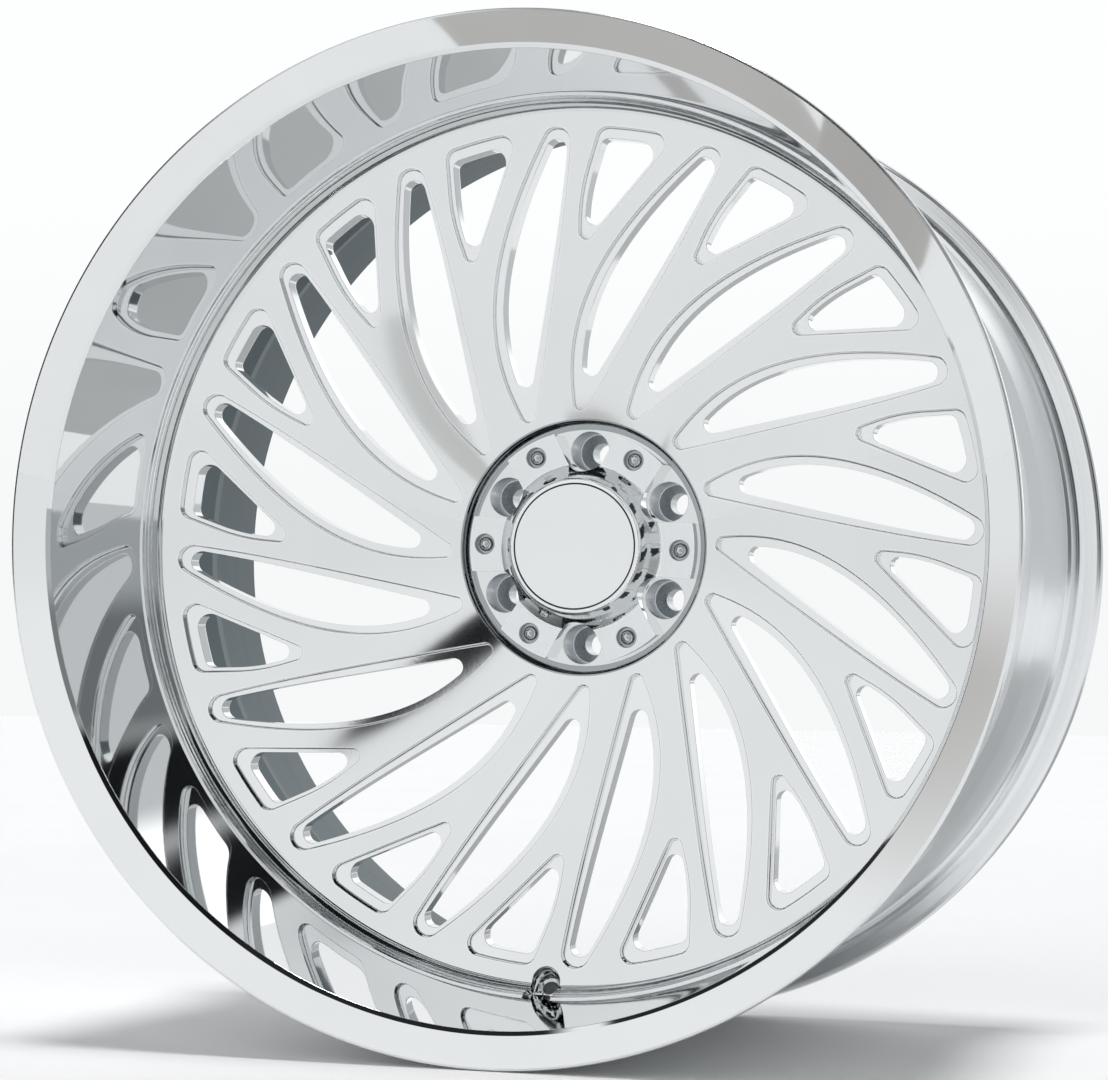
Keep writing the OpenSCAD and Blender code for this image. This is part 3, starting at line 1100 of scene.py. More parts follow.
def short_window() -> WindowPlan:
    """The three-cornered window between two long ones.

    Returns:
        Its outlines at the top of the wheel.
    """
    tip, knee = spot(0.569, -0.016), spot(0.784, -0.053)
    left_end, right_end = -0.187, -0.676
    angle = np.linspace(right_end - 0.5, left_end + 0.5, 400) * FACE.pitch + math.radians(90.0)
    right = extended(straight(tip, spot(1.0, right_end)), 50.0, 50.0)
    outer = polar(np.full(len(angle), FACE.window_radius), angle)
    left = extended(straight(spot(1.0, left_end), knee, tip, ease=18.0), 50.0, 50.0)
    counts = [15, 6, 18]
    pocket = WindowLoop(
        [right, outer, left],
        [Corner(FACE.corner_radius), Corner(FACE.corner_radius), Corner(FACE.tip_radius)],
        counts,
    )
    opening = WindowLoop(
        [
            shifted(right, FACE.ledge_outer),
            shifted(outer, FACE.ledge_end),
            shifted(left, FACE.ledge_outer),
        ],
        [Corner(FACE.corner_radius), Corner(FACE.opening_radius), Corner(FACE.opening_radius)],
        counts,
    )
    return WindowPlan(pocket.points(), opening.points())


# ---------------------------------------------------------------------------
# Pieces
# ---------------------------------------------------------------------------


class DiscSide(IntEnum):
    """Material places of the centre disc."""

    FACE = 0
    MILLED = 1
    BACK = 2
    # The hub pocket's wall and cove take the darkened finish: painted shade.
    POCKET = 3


class BarrelSide(IntEnum):
    """Material places of the barrel."""

    LIP = 0
    TYRE = 1
    # The axis side behind the disc takes the darkened inside finish: painted shade.
    INSIDE = 2


class CapSide(IntEnum):
    """Material places of the cap."""

    POLISHED = 0
    FOOT = 1
    # The screw sinks take the same darkened finish: painted shade.
    SINK = 2


@dataclass
class CentreDisc:
    """The forged disc with its windows, hub pocket, lug sockets and mounting pad.

    Attributes:
        round_count: Columns round the axis.
        edge_round: Radius of the polished window edges.
        floor_round: Radius left by the cutter at the foot of a pocket's wall.
        lean: How far a pocket's wall leans in over its depth.
        opening_round: Radius of the edge of a through opening.
        foot_round: Radius of its edge at the back.
        ripple_pitch: Distance between the cutter's marks in a pocket's corners.
        ripple_depth: Depth of those marks.
        ripple_turn: Corners with a smaller radius than this carry the marks.
        wall_inset: How far the hub pocket's wall stands inside the pocket's radius.
        floor_inset: The same for the outer edge of its flat floor.
        lug_count: Columns round a lug's socket.
        tap_count: Columns round a cap screw's hole.
        tap_radius: Radius of a cap screw's hole.
        lip: Width of the edge left round the mouths of sockets and holes.
        spacing: Distance between the points of the large flat fills.
        sharp: Edges that turn more than this, in degrees, are shaded sharp.
    """

    round_count: int = 288
    edge_round: float = 1.5
    floor_round: float = 1.5
    lean: float = 0.6
    opening_round: float = 0.4
    foot_round: float = 0.6
    ripple_pitch: float = 2.8
    ripple_depth: float = 0.2
    ripple_turn: float = 11.0
    wall_inset: float = 1.2
    floor_inset: float = 6.3
    lug_count: int = 72
    tap_count: int = 24
    tap_radius: float = HUB.screw_diameter / 2
    lip: float = 0.6
    spacing: float = 9.0
    sharp: float = 40.0

    def build(self) -> bpy.types.Object:
        """Makes the disc's mesh object.

        Returns:
            The object.
        """
        skin = Skin()
        plans = [long_window(), short_window()]
        front_holes, back_holes = [], []
        for index in range(FACE.window_pairs):
            angle = index * FACE.pitch
            for plan in plans:
                rows = self._window(spun(plan.pocket, angle), spun(plan.opening, angle))
                skin.grid(rows, True, DiscSide.MILLED)
                front_holes.append(rows[0, :, :2])
                back_holes.append(rows[-1, :, :2])
        self._face(skin, front_holes)
        self._back(skin, back_holes)
        self._rim(skin)
        self._hub(skin)
        disc = skin.build("centre_disc_polished", self.sharp)
        relieved(disc, self.sharp)
        set_normals(
            disc.data,
            [
                TrueSurface(FACE.front, FACE.pocket_radius, FACE.face_radius - 0.3),
                TrueSurface(lambda r: FACE.front(r) - FACE.ledge_depth, 90.0, FACE.window_radius),
                TrueSurface(FACE.back, FACE.pad_radius + 2.0, FACE.back_edge, outward=-1.0),
            ],
        )
        return disc

    def _window(self, pocket: np.ndarray, opening: np.ndarray) -> np.ndarray:
        """Rows of points down one window, from the face to the back.

        Args:
            pocket: Edge of the milled pocket at the face.
            opening: Edge of the hole through the ledge.

        Returns:
            An array of shape (rows, points, 3).
        """
        depth = FACE.ledge_depth
        wall = filleted(
            [
                (-1.2, 0, 0), (0, 0, self.edge_round),
                (self.lean, -depth, self.floor_round), (2.4, -depth, 0),
            ],
            30.0,
        )
        marks = np.zeros(len(wall))
        marks[1:-1] = 1.0
        ripple = self._ripple(pocket)
        rows = [
            self._raised(pocket, inward + mark * ripple, FACE.front, rise)
            for (inward, rise), mark in zip(wall, marks)
        ]
        brink = self._softened(-depth, -self.opening_round)
        rows += [self._raised(opening, inward, FACE.front, rise) for inward, rise in brink]
        foot = self._softened(0.0, self.foot_round)[::-1]
        rows += [self._raised(opening, inward, FACE.back, rise) for inward, rise in foot]
        return np.stack(rows)

    @staticmethod
    def _softened(level: float, radius: float) -> list[tuple[float, float]]:
        """Section of an opening's rounded edge.

        Args:
            level: Height of the surface that the opening goes through.
            radius: Radius of the edge, below 0 where the wall goes down from it.

        Returns:
            Pairs of distance inward and height.
        """
        size = abs(radius)
        return [
            (-1.6 * size, level), (-size, level), (-0.29 * size, level + 0.29 * radius),
            (0.0, level + radius), (0.0, level + 2.5 * radius),
        ]

    def _ripple(self, loop: np.ndarray) -> np.ndarray:
        """Cutter marks round a pocket's corners.

        A wave along the loop, scaled by how far the local radius, step length over turn
        between steps, is below the limit.

        Args:
            loop: Points of the pocket's edge.

        Returns:
            How far each point moves inward.
        """
        ahead, behind = np.roll(loop, -1, axis=0) - loop, loop - np.roll(loop, 1, axis=0)
        length = np.linalg.norm(behind, axis=1)
        across = ahead[:, 0] * behind[:, 1] - ahead[:, 1] * behind[:, 0]
        turn = np.abs(np.arctan2(across, (ahead * behind).sum(axis=1)))
        blurred = np.convolve(np.tile(turn / length, 3), np.ones(5) / 5.0, "same")
        tight = blurred[len(loop) : 2 * len(loop)]
        weight = np.clip(tight * self.ripple_turn - 0.6, 0.0, 1.0)
        phase = np.cumsum(length) * FULL_TURN / self.ripple_pitch
        return self.ripple_depth * weight * np.sin(phase)

    @staticmethod
    def _raised(
        loop: np.ndarray,
        inward: np.ndarray | float,
        surface: Callable[[np.ndarray], np.ndarray],
        rise: float,
    ) -> np.ndarray:
        """A loop moved inward and lifted to a rise over a surface of revolution."""
        flat = shifted(loop, inward, closed=True)
        return np.column_stack([flat, surface(np.linalg.norm(flat, axis=1)) + rise])

    def _face(self, skin: Skin, holes: list[np.ndarray]) -> None:
        """Adds the cone between the windows.

        Args:
            skin: Takes the faces.
            holes: The windows' edges at the face.
        """
        inner = ring(FACE.pocket_radius + 1.0, self.round_count)
        outer = ring(FACE.face_radius - self.lip, self.round_count)
        radii = np.arange(FACE.pocket_radius + 8.0, FACE.face_radius - 5.0, self.spacing)
        skin.fill(FlatFill(outer, [inner, *holes], radii, self.spacing), FACE.front, DiscSide.FACE)

    def _back(self, skin: Skin, holes: list[np.ndarray]) -> None:
        """Adds the back of the spokes, with the sweep down to the pad.

        Args:
            skin: Takes the faces.
            holes: The windows' edges at the back.
        """
        inner = ring(FACE.pad_radius, self.round_count)
        outer = ring(FACE.back_edge, self.round_count)
        sweep = FACE.pad_radius + FACE.pad_blend * np.linspace(0.12, 1.0, 12) ** 1.6
        start = FACE.pad_radius + FACE.pad_blend + self.spacing
        radii = np.concatenate([sweep, np.arange(start, FACE.window_radius - 8.0, 10.0)])
        skin.fill(FlatFill(outer, [inner, *holes], radii, self.spacing), FACE.back, DiscSide.BACK)

    def _rim(self, skin: Skin) -> None:
        """Adds the concave edge, the seat in the barrel and the ring's back.

        Args:
            skin: Takes the faces.
        """
        start, top, low = FACE.face_radius, FACE.ring_top, FACE.ring_low
        level = FACE.front(start)
        edge = (start + 0.3, level), (start + 4.6, level + 0.7), (start + RING_EDGE, top)
        back = FACE.back(np.array([FACE.back_edge]))[0]
        profile = [
            (start - self.lip, FACE.front(start - self.lip)),
            *bent(*edge, 14),
            (RIM.disc_radius, top), (RIM.disc_radius, low),
            (FACE.window_radius + 3.0, low), (FACE.window_radius - 1.0, back),
            (FACE.back_edge, back),
        ]
        skin.revolve(profile, self.round_count, DiscSide.FACE)

    def _hub(self, skin: Skin) -> None:
        """Adds the cap pocket, the lug floor with its sockets, the bore and the mounting pad.

        Args:
            skin: Takes the faces.
        """
        floor, pad, rim = HUB.floor_z, -FACE.mount_setback, FACE.pocket_radius
        bore, register = HUB.bore_radius, HUB.register_radius
        seat, base = HUB.lug_hole / 2, HUB.lug_hole / 2 + HUB.pad_chamfer
        mouth, tap = HUB.lug_socket / 2 + self.lip, self.tap_radius + 0.3
        wall, edge = rim - self.wall_inset, rim - self.floor_inset
        corners = [
            (rim + 1.0, FACE.front(rim + 1.0), 0), (rim - 0.1, FACE.front(rim - 0.1), 0.8),
            (wall, FACE.front(rim) - 1.6, 0.6), (wall, floor, HUB.cove), (edge, floor, 0),
        ]
        # The pocket's wall and cove get the darkened pocket finish, which is painted shade.
        skin.revolve(filleted(corners, 10.0), self.round_count, DiscSide.POCKET)
        self._floor(
            skin,
            DiscSide.FACE,
            floor,
            (edge, register + 0.5),
            [
                *(ring(mouth, self.lug_count) + c for c in HUB.lugs()),
                *(ring(tap, self.tap_count) + c for c in HUB.screws()),
            ],
            (np.arange(58.0, 83.0, 4.0), 6.0),
        )
        for centre in HUB.lugs():
            skin.revolve(self._socket(), self.lug_count, DiscSide.BACK, centre)
        hole = [
            (tap, floor), (self.tap_radius, floor - 0.3), (self.tap_radius, floor - 12.0),
            (0.0, floor - 13.5),
        ]
        for centre in HUB.screws():
            skin.revolve(hole, self.tap_count, DiscSide.FACE, centre)
        step = floor - HUB.register_depth
        through = [
            (register + 0.5, floor), (register, floor - 0.5), (register, step),
            (bore, step), (bore, pad + 2.0), (bore + 2.0, pad), (bore + 3.0, pad),
        ]
        skin.revolve(through, self.round_count, DiscSide.FACE)
        rest = FACE.pad_radius - FACE.pad_chamfer
        self._floor(
            skin,
            DiscSide.BACK,
            pad,
            (rest, bore + 3.0),
            [ring(base, self.lug_count) + c for c in HUB.lugs()],
            (np.arange(60.0, 85.0, 6.0), 8.0),
        )
        chamfer = [(rest, pad), (FACE.pad_radius, FACE.back(np.array([FACE.pad_radius]))[0])]
        skin.revolve(chamfer, self.round_count, DiscSide.BACK)

    def _floor(
        self,
        skin: Skin,
        side: DiscSide,
        level: float,
        edges: tuple[float, float],
        holes: list[np.ndarray],
        points: tuple[np.ndarray, float],
    ) -> None:
        """Adds a flat ring with holes; points holds its inner rings' radii and their spacing."""
        outer, inner = (ring(radius, self.round_count) for radius in edges)
        skin.fill(FlatFill(outer, [inner, *holes], *points), lambda r: level, side)

    def _socket(self) -> np.ndarray:
        """Profile of a lug's socket, its conical seat and the hole behind it.

        Returns:
            Points (radius, height) about the lug's own line.
        """
        floor, pad = HUB.floor_z, -FACE.mount_setback
        top, seat = HUB.lug_socket / 2, HUB.lug_hole / 2
        low = floor - HUB.socket_depth
        step = (top - seat) / math.tan(math.radians(HUB.seat_angle / 2))
        return filleted(
            [
                (top + self.lip, floor, 0), (top, floor, 0.3), (top, low, 0.3),
                (top - 1.1, low, 0.2), (seat, low - step + 0.6, 0.3), (seat, pad, 0.5),
                (seat + HUB.pad_chamfer, pad, 0),
            ],
            30.0,
        )


def tube(start: np.ndarray, slant: float, radius: float, stretch: tuple[float, float]) -> Skin:
    """A closed round bar along a slanted axis, in the frame with x outward and z to the front.

    Args:
        start: A point on its axis.
        slant: Angle from the wheel's axis, outward to the rear.
        radius: Its radius.
        stretch: Where it starts and ends, measured from the point towards the rear.

    Returns:
        The bar's skin.
    """
    along = np.array([math.sin(slant), 0.0, -math.cos(slant)])
    up = np.array([math.cos(slant), 0.0, math.sin(slant)])
    turn = (np.arange(64) * FULL_TURN / 64)[:, None]
    circle = (np.cos(turn) * np.array([0.0, 1.0, 0.0]) + np.sin(turn) * up) * radius
    bar = Skin()
    rows = np.stack([start + along * d + circle for d in stretch])
    bar.grid(rows)
    for end in rows:
        lid(bar, end)
    return bar


def lid(skin: Skin, loop: np.ndarray) -> None:
    """Adds triangles from each edge of a loop to the loop's middle.

    Args:
        skin: Takes the faces.
        loop: Points with three coordinates.
    """
    number = np.arange(len(loop))
    faces = np.stack([number, np.roll(number, -1), np.full(len(loop), len(loop))], axis=1)
    skin.add(np.concatenate([loop, loop.mean(axis=0)[None]]), faces)


def valve_cutter() -> bpy.types.Object:
    """The round-ended relief at the edge of the face, its spot face and the slanted hole.

    The relief is a ball-ended slot whose floor rises towards the lip: each column's depth is
    radius * sin(dip), times a share that is 1 at the round end and less at the lip.

    Returns:
        The shape to take out.
    """
    radius = HUB.valve_relief / 2
    centre_r = FACE.window_radius - 1.0 + radius
    level = FACE.front(FACE.face_radius) - 1.0
    reach = RIM.lip_base_radius + 0.6 - centre_r
    half_round = polar(np.ones(33), math.pi + np.linspace(-math.pi / 2, math.pi / 2, 33))
    share = np.append(np.ones(33), (0.4, 0.4))
    dips = np.linspace(0.0, math.pi / 2, 17)
    sizes = [radius, *(radius * math.cos(dip) for dip in dips)]
    heights = [np.full(35, 26.0), *(-radius * math.sin(dip) * share for dip in dips)]
    outlines = [
        np.concatenate([half_round * size, [[reach, -size], [reach, size]]]) for size in sizes
    ]
    body = np.stack(
        [np.column_stack([flat, level + height]) for flat, height in zip(outlines, heights)]
    )
    body[..., 0] += centre_r
    relief = Skin()
    relief.grid(body)
    lid(relief, body[0])
    start = np.array([FACE.face_radius + 5.4, 0.0, level - radius])
    slant, hole = math.radians(HUB.valve_slant), HUB.valve_hole / 2
    parts = {
        "valve_relief": relief,
        "valve_spot_face": tube(start, slant, hole + 1.5, (-9.0, HUB.spot_sink)),
        "valve_bore": tube(start, slant, hole, (-8.0, 36.0)),
    }
    for part in parts.values():
        part.vertices = [spun(block, math.radians(-90.0 + HUB.turn)) for block in part.vertices]
    first, *others = [part.build(name) for name, part in parts.items()]
    combined(first, "UNION", others)
    return first


@dataclass
class Barrel:
    """The outer ring: lip, flanges, bead seats and tyre well.

    Attributes:
        round_count: Columns round the axis.
        seat_width: Width of a bead seat.
        sharp: Edges that turn more than this, in degrees, are shaded sharp.
    """

    round_count: int = 400
    seat_width: float = 22.0
    sharp: float = 30.0

    def build(self) -> bpy.types.Object:
        """Makes the barrel's mesh object.

        Returns:
            The object.
        """
        skin = Skin()
        skin.revolve(self._axis_side(), self.round_count, BarrelSide.LIP)
        skin.revolve(self._tyre_side(), self.round_count, BarrelSide.TYRE)
        barrel = skin.build("barrel_turned", self.sharp)
        faces = barrel.data.polygons
        side = read(faces, "material_index", np.int32)
        # Faces of the axis side behind the disc get the darkened inside finish, which is painted
        # shade.
        behind = read(faces, "center", np.float32, 3)[:, 1] > -FACE.front(FACE.face_radius) * MM
        side[(side == BarrelSide.LIP) & behind] = BarrelSide.INSIDE
        faces.foreach_set("material_index", side)
        relieved(barrel, self.sharp)
        return barrel

    @staticmethod
    def _axis_side() -> np.ndarray:
        """Section of the side that faces the axis: rear, well, the disc's seat and the lip.

        Returns:
            Points (radius, height) from the rear flange to the front one.
        """
        seat, flange, lip = RIM.seat_radius, RIM.flange_radius, RIM.lip_radius
        half_out, base, disc = RIM.half_out, RIM.lip_base_radius, RIM.disc_radius
        low, top, dish = FACE.ring_low, FACE.ring_top, RIM.half_out - RIM.flange_dish
        corners = [
            (seat - 2.2, -half_out, 0), (seat - 4.2, -half_out + 2, 1.5), (disc, -86, 12),
            (RIM.well_radius, -62, 12), (RIM.well_radius, low, 0.3), (disc, low, 0.3),
            (disc, top, 0), (disc + 0.2, top + 1.4, 0), (base, top + FRONT_WELD, 0.4),
            (lip, dish, 0.7), (lip + 3, dish + 2.6, 2.0), (flange - 2.2, half_out, 0),
        ]
        return filleted(corners, 9.0)

    def _tyre_side(self) -> np.ndarray:
        """Section of the tyre's side: flanges, bead seats, humps and the well between them.

        Returns:
            Points (radius, height) from the front flange to the rear one.
        """
        seat, flange = RIM.seat_radius, RIM.flange_radius
        half_in, half_out = RIM.half_in, RIM.half_out
        wall, low, top = RIM.lip_base_radius + RIM.barrel_wall, FACE.ring_low, FACE.ring_top
        well, rear = RIM.well_radius + RIM.barrel_wall, RIM.disc_radius + RIM.barrel_wall - 1
        foot = seat - self.seat_width * math.tan(math.radians(RIM.seat_angle))
        hump = foot + RIM.hump_height
        corners = [
            (flange - 2.2, half_out, 0), (flange - 0.6, half_out - 0.8, 1.0),
            (flange, half_out - 2.8, 1.2), (flange, half_out - 6.5, 3),
            (flange - 1.2, half_out - 9.6, 2.5), (flange - 3.6, half_in + 1, 2),
            (seat + 4.4, half_in, 2), (seat + 1.2, half_in - 1.4, 1.5),
            (seat, half_in - 4.3, 2), (foot, half_in - 25, 1),
            (hump, half_in - 28, 2), (hump, half_in - 30.5, 2), (foot - 1.2, half_in - 36, 5),
            (wall + 0.2, top + 10, 20), (wall - 1.2, low + 2, 4), (wall - 2.4, low - 3, 4),
            (well, low - 18, 8), (well, -60, 12), (rear, -88, 12),
            (foot - 1, -half_in + 34, 4), (hump, -half_in + 29, 2), (hump, -half_in + 27, 2),
            (foot, -half_in + 24, 1), (seat, -half_in + 4.3, 2),
            (seat + 1.2, -half_in + 1.4, 1.5), (seat + 4.4, -half_in, 2),
            (flange - 3.6, -half_in - 1, 2), (flange - 1.2, -half_out + 9.6, 2.5),
            (flange, -half_out + 6.5, 3), (flange, -half_out + 2, 1.5),
            (flange - 2, -half_out, 1), (seat - 2.2, -half_out, 0),
        ]
        return filleted(corners, 22.0)


@dataclass
class WeldBead:
    """A dressed weld ring between the disc and the barrel.

    Attributes:
        name: Name of the piece.
        profile: Corners of its section, with a radius each.
        round_count: Columns round the axis.
        sharp: Edges that turn more than this, in degrees, are shaded sharp.
    """

    name: str
    profile: list[tuple[float, float, float]]
    round_count: int = 512
    sharp: float = 35.0

    def build(self, notched: bool) -> bpy.types.Object:
        """Makes the ring.

        Args:
            notched: Whether the valve's relief is taken out of it.

        Returns:
            The object.
        """
        skin = Skin()
        section = filleted([*self.profile, self.profile[0]], 20.0, 0.05)
        skin.revolve(section, self.round_count)
        bead = skin.build(self.name, self.sharp)
        if notched:
            relieved(bead, self.sharp)
        return bead

    @staticmethod
    def front() -> WeldBead:
        """The stepped ring beside the lip.

        Returns:
            Its section, ready to build.
        """
        top, base, disc = FACE.ring_top, RIM.lip_base_radius, RIM.disc_radius
        high = top + FRONT_WELD
        corners = [
            (disc - 0.5, top, 0), (disc, top, 0), (disc + 0.2, top + 1.4, 0), (base, high, 0),
            (base - 1.2, high, 0.5), (base - 1.8, high - 2.4, 0.5), (base - 2.6, high - 3.2, 0.5),
            (base - 2.8, high - 5.6, 0.5), (base - 3.6, high - 6.4, 0.5),
            (base - 3.8, high - 8.8, 0.8), (FACE.face_radius + RING_EDGE, top, 0),
        ]
        return WeldBead("front_weld_ring", corners)

    @staticmethod
    def rear() -> WeldBead:
        """The round ring behind the disc.

        Returns:
            Its section, ready to build.
        """
        low, well = FACE.ring_low, RIM.well_radius
        corners = [
            (well - 0.5, low, 0), (well, low, 0), (well, low - 7, 0), (well - 3.8, low - 5.2, 4),
            (well - 6.2, low - 2.6, 4), (well - 7, low, 0),
        ]
        return WeldBead("rear_weld_ring", corners)


@dataclass
class HubCap:
    """The cap: a tower on six feet that stand between the nuts.

    Attributes:
        edge_round: Radius of its polished edges.
        round_count: Columns round the axis.
        sink_count: Columns round a screw head's pocket.
        sink_edge: Width of the edge left round that pocket's mouth.
        foot_start: Radius where the tower's slope has ended and the flat feet begin.
        sharp: Edges that turn more than this, in degrees, are shaded sharp.
    """

    edge_round: float = 0.45
    round_count: int = 240
    sink_count: int = 48
    sink_edge: float = 0.5
    foot_start: float = 60.6
    sharp: float = 38.0

    def build(self) -> bpy.types.Object:
        """Makes the cap's mesh object.

        Returns:
            The object.
        """
        skin = Skin()
        outline, crown, pocket = self._outline(), HUB.crown, HUB.head_pocket / 2
        rows = []
        for inward, rise in filleted([(0.6, 0, 0), (0, 0, self.edge_round), (0, -1.0, 0)], 18.0):
            flat = shifted(outline, inward, closed=True)
            rows.append(np.column_stack([flat, self._top(np.linalg.norm(flat, axis=1)) + rise]))
        rows.append(np.column_stack([outline, np.full(len(outline), HUB.floor_z)]))
        skin.grid(np.stack(rows), True, CapSide.POLISHED)
        mouths = [ring(pocket + self.sink_edge, self.sink_count) + c for c in HUB.screws()]
        radii = np.concatenate([np.arange(crown + 0.8, 61.5, 0.8), np.arange(64.0, 84.0, 4.0)])
        top = FlatFill(rows[0][:, :2], [ring(crown, self.round_count), *mouths], radii, 2.4)
        spots, faces = top.triangles()
        on_foot = np.linalg.norm(spots[faces].mean(axis=1), axis=1) > self.foot_start
        side = np.where(on_foot, CapSide.FOOT, CapSide.POLISHED)
        skin.add(np.column_stack([spots, self._top(np.linalg.norm(spots, axis=1))]), faces, side)
        sink = [
            (pocket + self.sink_edge, HUB.foot_top, 0), (pocket, HUB.foot_top, 0.25),
            (pocket, HUB.head_seat, 0.3), (0.0, HUB.head_seat, 0),
        ]
        # The screw sinks get the darkened pocket finish, which is painted shade.
        for centre in HUB.screws():
            skin.revolve(filleted(sink), self.sink_count, CapSide.SINK, centre)
        skirt = ring(HUB.skirt_radius, self.round_count)
        under = FlatFill(outline, [skirt], np.array([60.0, 68.0, 76.0]), 8.0)
        skin.fill(under, lambda r: HUB.floor_z)
        skin.revolve(self._recess(), self.round_count, CapSide.POLISHED)
        skin.revolve(self._underside(), self.round_count, CapSide.POLISHED)
        cap = skin.build("cap_polished", self.sharp)
        set_normals(cap.data, [TrueSurface(self._top, crown + 0.2, HUB.foot_radius)])
        return cap

    @staticmethod
    def _top(radius: np.ndarray) -> np.ndarray:
        """Height of the cap's top: the crown, the sweep of the tower and the flat feet.

        Args:
            radius: Distances from the axis.

        Returns:
            A height for each distance.
        """
        crown, top = HUB.crown, HUB.cap_top
        corners = [
            (0.0, top, 0), (crown + 0.4, top, 1.4), (crown + 2.0, top - 1.6, 2.0),
            (crown + 4.6, top - 5.2, 12.0), (crown + 7.3, top - 9.6, 12.0),
            (crown + 10.3, top - 13.8, 12.0), (crown + 12.9, HUB.foot_top, 1.6),
            (100.0, HUB.foot_top, 0),
        ]
        profile = filleted(corners, 4.0)
        return np.interp(radius, profile[:, 0], profile[:, 1])

    def _recess(self) -> np.ndarray:
        """Section of the medallion's recess.

        Returns:
            Points (radius, height) from the crown to the axis.
        """
        floor, wall = HUB.cap_top - HUB.medallion_thickness, HUB.medallion_radius + HUB.seal_width
        corners = [
            (HUB.crown, self._top(np.array([HUB.crown]))[0], 0), (wall + 0.2, HUB.cap_top, 0.4),
            (wall, floor, 0.3), (0.0, floor, 0),
        ]
        return filleted(corners, 18.0)

    @staticmethod
    def _underside() -> list[tuple[float, float]]:
        """Section of the hollow underside with the skirt.

        Returns:
            Points (radius, height) from the axis to the skirt's outside.
        """
        roof = HUB.cap_top - HUB.medallion_thickness - 4.0
        inner, low = HUB.skirt_radius - HUB.skirt_wall, HUB.floor_z - HUB.skirt_depth
        return [
            (0.0, roof), (37.4, roof), (39.4, roof - 2.0), (inner, HUB.floor_z + 2.0),
            (inner, low), (HUB.skirt_radius, low), (HUB.skirt_radius, HUB.floor_z),
        ]

    def _outline(self) -> np.ndarray:
        """The outline of the six feet, counter-clockwise.

        One half of a foot, in its own frame with the foot along x, is the arc of its end,
        the side and the round clearance of the nut beside it; the rest is mirrored and turned.

        Returns:
            An array of shape (points, 2).
        """
        half = HUB.step / 2
        end_angle = math.asin(HUB.foot_width / 2 / HUB.foot_radius)
        end = polar(np.full(9, HUB.foot_radius), np.linspace(0.0, end_angle, 9))
        nut = polar(np.array(HUB.lug_circle / 2), np.array(half))
        turn = np.linspace(-math.pi / 2, -math.pi + half, 16)
        scoop = nut + polar(np.full(16, HUB.clearance), turn)
        corners = [(*p, 0.0) for p in end[:-1]] + [(*end[-1], 0.7)]
        upper = filleted([*corners, (*scoop[0], 0.0)], 15.0, 0.15)
        upper = np.concatenate([upper[:-2], resampled(upper[-2:], 8), scoop[1:]])
        lower = upper[::-1] * (1.0, -1.0)
        foot = np.concatenate([lower[:-1], upper[:-1]])
        feet = [spun(foot, HUB.lug_angle(i + 0.5)) for i in range(HUB.lug_count)]
        return np.concatenate(feet[::-1])


@dataclass
class Medallion:
    """The plain disc in the cap's recess.

    Attributes:
        round_count: Columns round the axis.
    """

    round_count: int = 240

    def build(self) -> bpy.types.Object:
        """Makes the disc's mesh object.

        Returns:
            The object.
        """
        top, radius = HUB.cap_top, HUB.medallion_radius
        low = top - HUB.medallion_thickness
        corners = [
            (0.0, top, 0), (radius * 0.5, top, 0), (radius, top, 0.5), (radius, low, 0.3),
            (0.0, low, 0),
        ]
        skin = Skin()
        skin.revolve(filleted(corners, 12.0), self.round_count)
        return skin.build("medallion_plain", sharp=50.0)


@dataclass
class SealRing:
    """The thin ring in the gap round the medallion.

    Attributes:
        round_count: Columns round the axis.
        depth: How far its middle lies under the cap's top.
        half_height: Half its height.
    """

    round_count: int = 240
    depth: float = 2.1
    half_height: float = 1.3

    def build(self) -> bpy.types.Object:
        """Makes the ring's mesh object.

        Returns:
            The object.
        """
        half = HUB.seal_width / 2
        angle = np.linspace(0.0, FULL_TURN, 17)
        radius = HUB.medallion_radius + half + half * np.cos(angle)
        height = HUB.cap_top - self.depth + self.half_height * np.sin(angle)
        skin = Skin()
        skin.revolve(np.stack([radius, height], axis=1), self.round_count)
        return skin.build("seal_ring", sharp=80.0)


@dataclass
class CapScrew:
    """A button-head screw with a hexagon socket.

    Attributes:
        number: Its number, clockwise from the top.
        columns: Columns round the screw.
        rise: Height of its head.
        reach: How far its shank goes below the lug floor.
    """

    number: int
    columns: int = 72
    rise: float = 3.3
    reach: float = 11.0

    def build(self) -> bpy.types.Object:
        """Makes the screw's mesh object.

        Returns:
            The object.
        """
        seat, end = HUB.head_seat, HUB.floor_z - self.reach
        head, shank, top = HUB.head_diameter / 2, HUB.screw_diameter / 2, HUB.head_seat + self.rise
        corners = [
            (0.0, end, 0), (shank - 0.8, end, 0), (shank, end + 0.8, 0.3), (shank, seat, 0),
            (head, seat, 0.2), (head, seat + 1.0, 0.5), (head * 0.92, seat + 2.0, 1.5),
            (head * 0.76, seat + 2.9, 1.5), (head * 0.55, top, 0.4),
            (HUB.key_size * 0.58 + 0.35, top, 0),
        ]
        angle = np.arange(self.columns) * FULL_TURN / self.columns
        sector = FULL_TURN / 6
        key = HUB.key_size / 2 / np.cos((angle + sector / 2) % sector - sector / 2)
        sizes = [*filleted(corners, 15.0, 0.05)]
        sizes += [(key * 1.06, top), (key, top - 0.2), (key, seat + 1.0), (key * 0.0, seat - 1.0)]
        rows = [
            np.column_stack([polar(size + 0.0 * angle, angle), np.full(self.columns, z)])
            for size, z in sizes
        ]
        block = spun(np.stack(rows), 0.4 + 0.7 * self.number)
        block[..., :2] += HUB.spot(HUB.screw_circle, self.number - 0.5)
        skin = Skin()
        skin.grid(block)
        return skin.build(f"cap_screw_head_{self.number}", sharp=35.0)


# ---------------------------------------------------------------------------
# Finishes
# ---------------------------------------------------------------------------


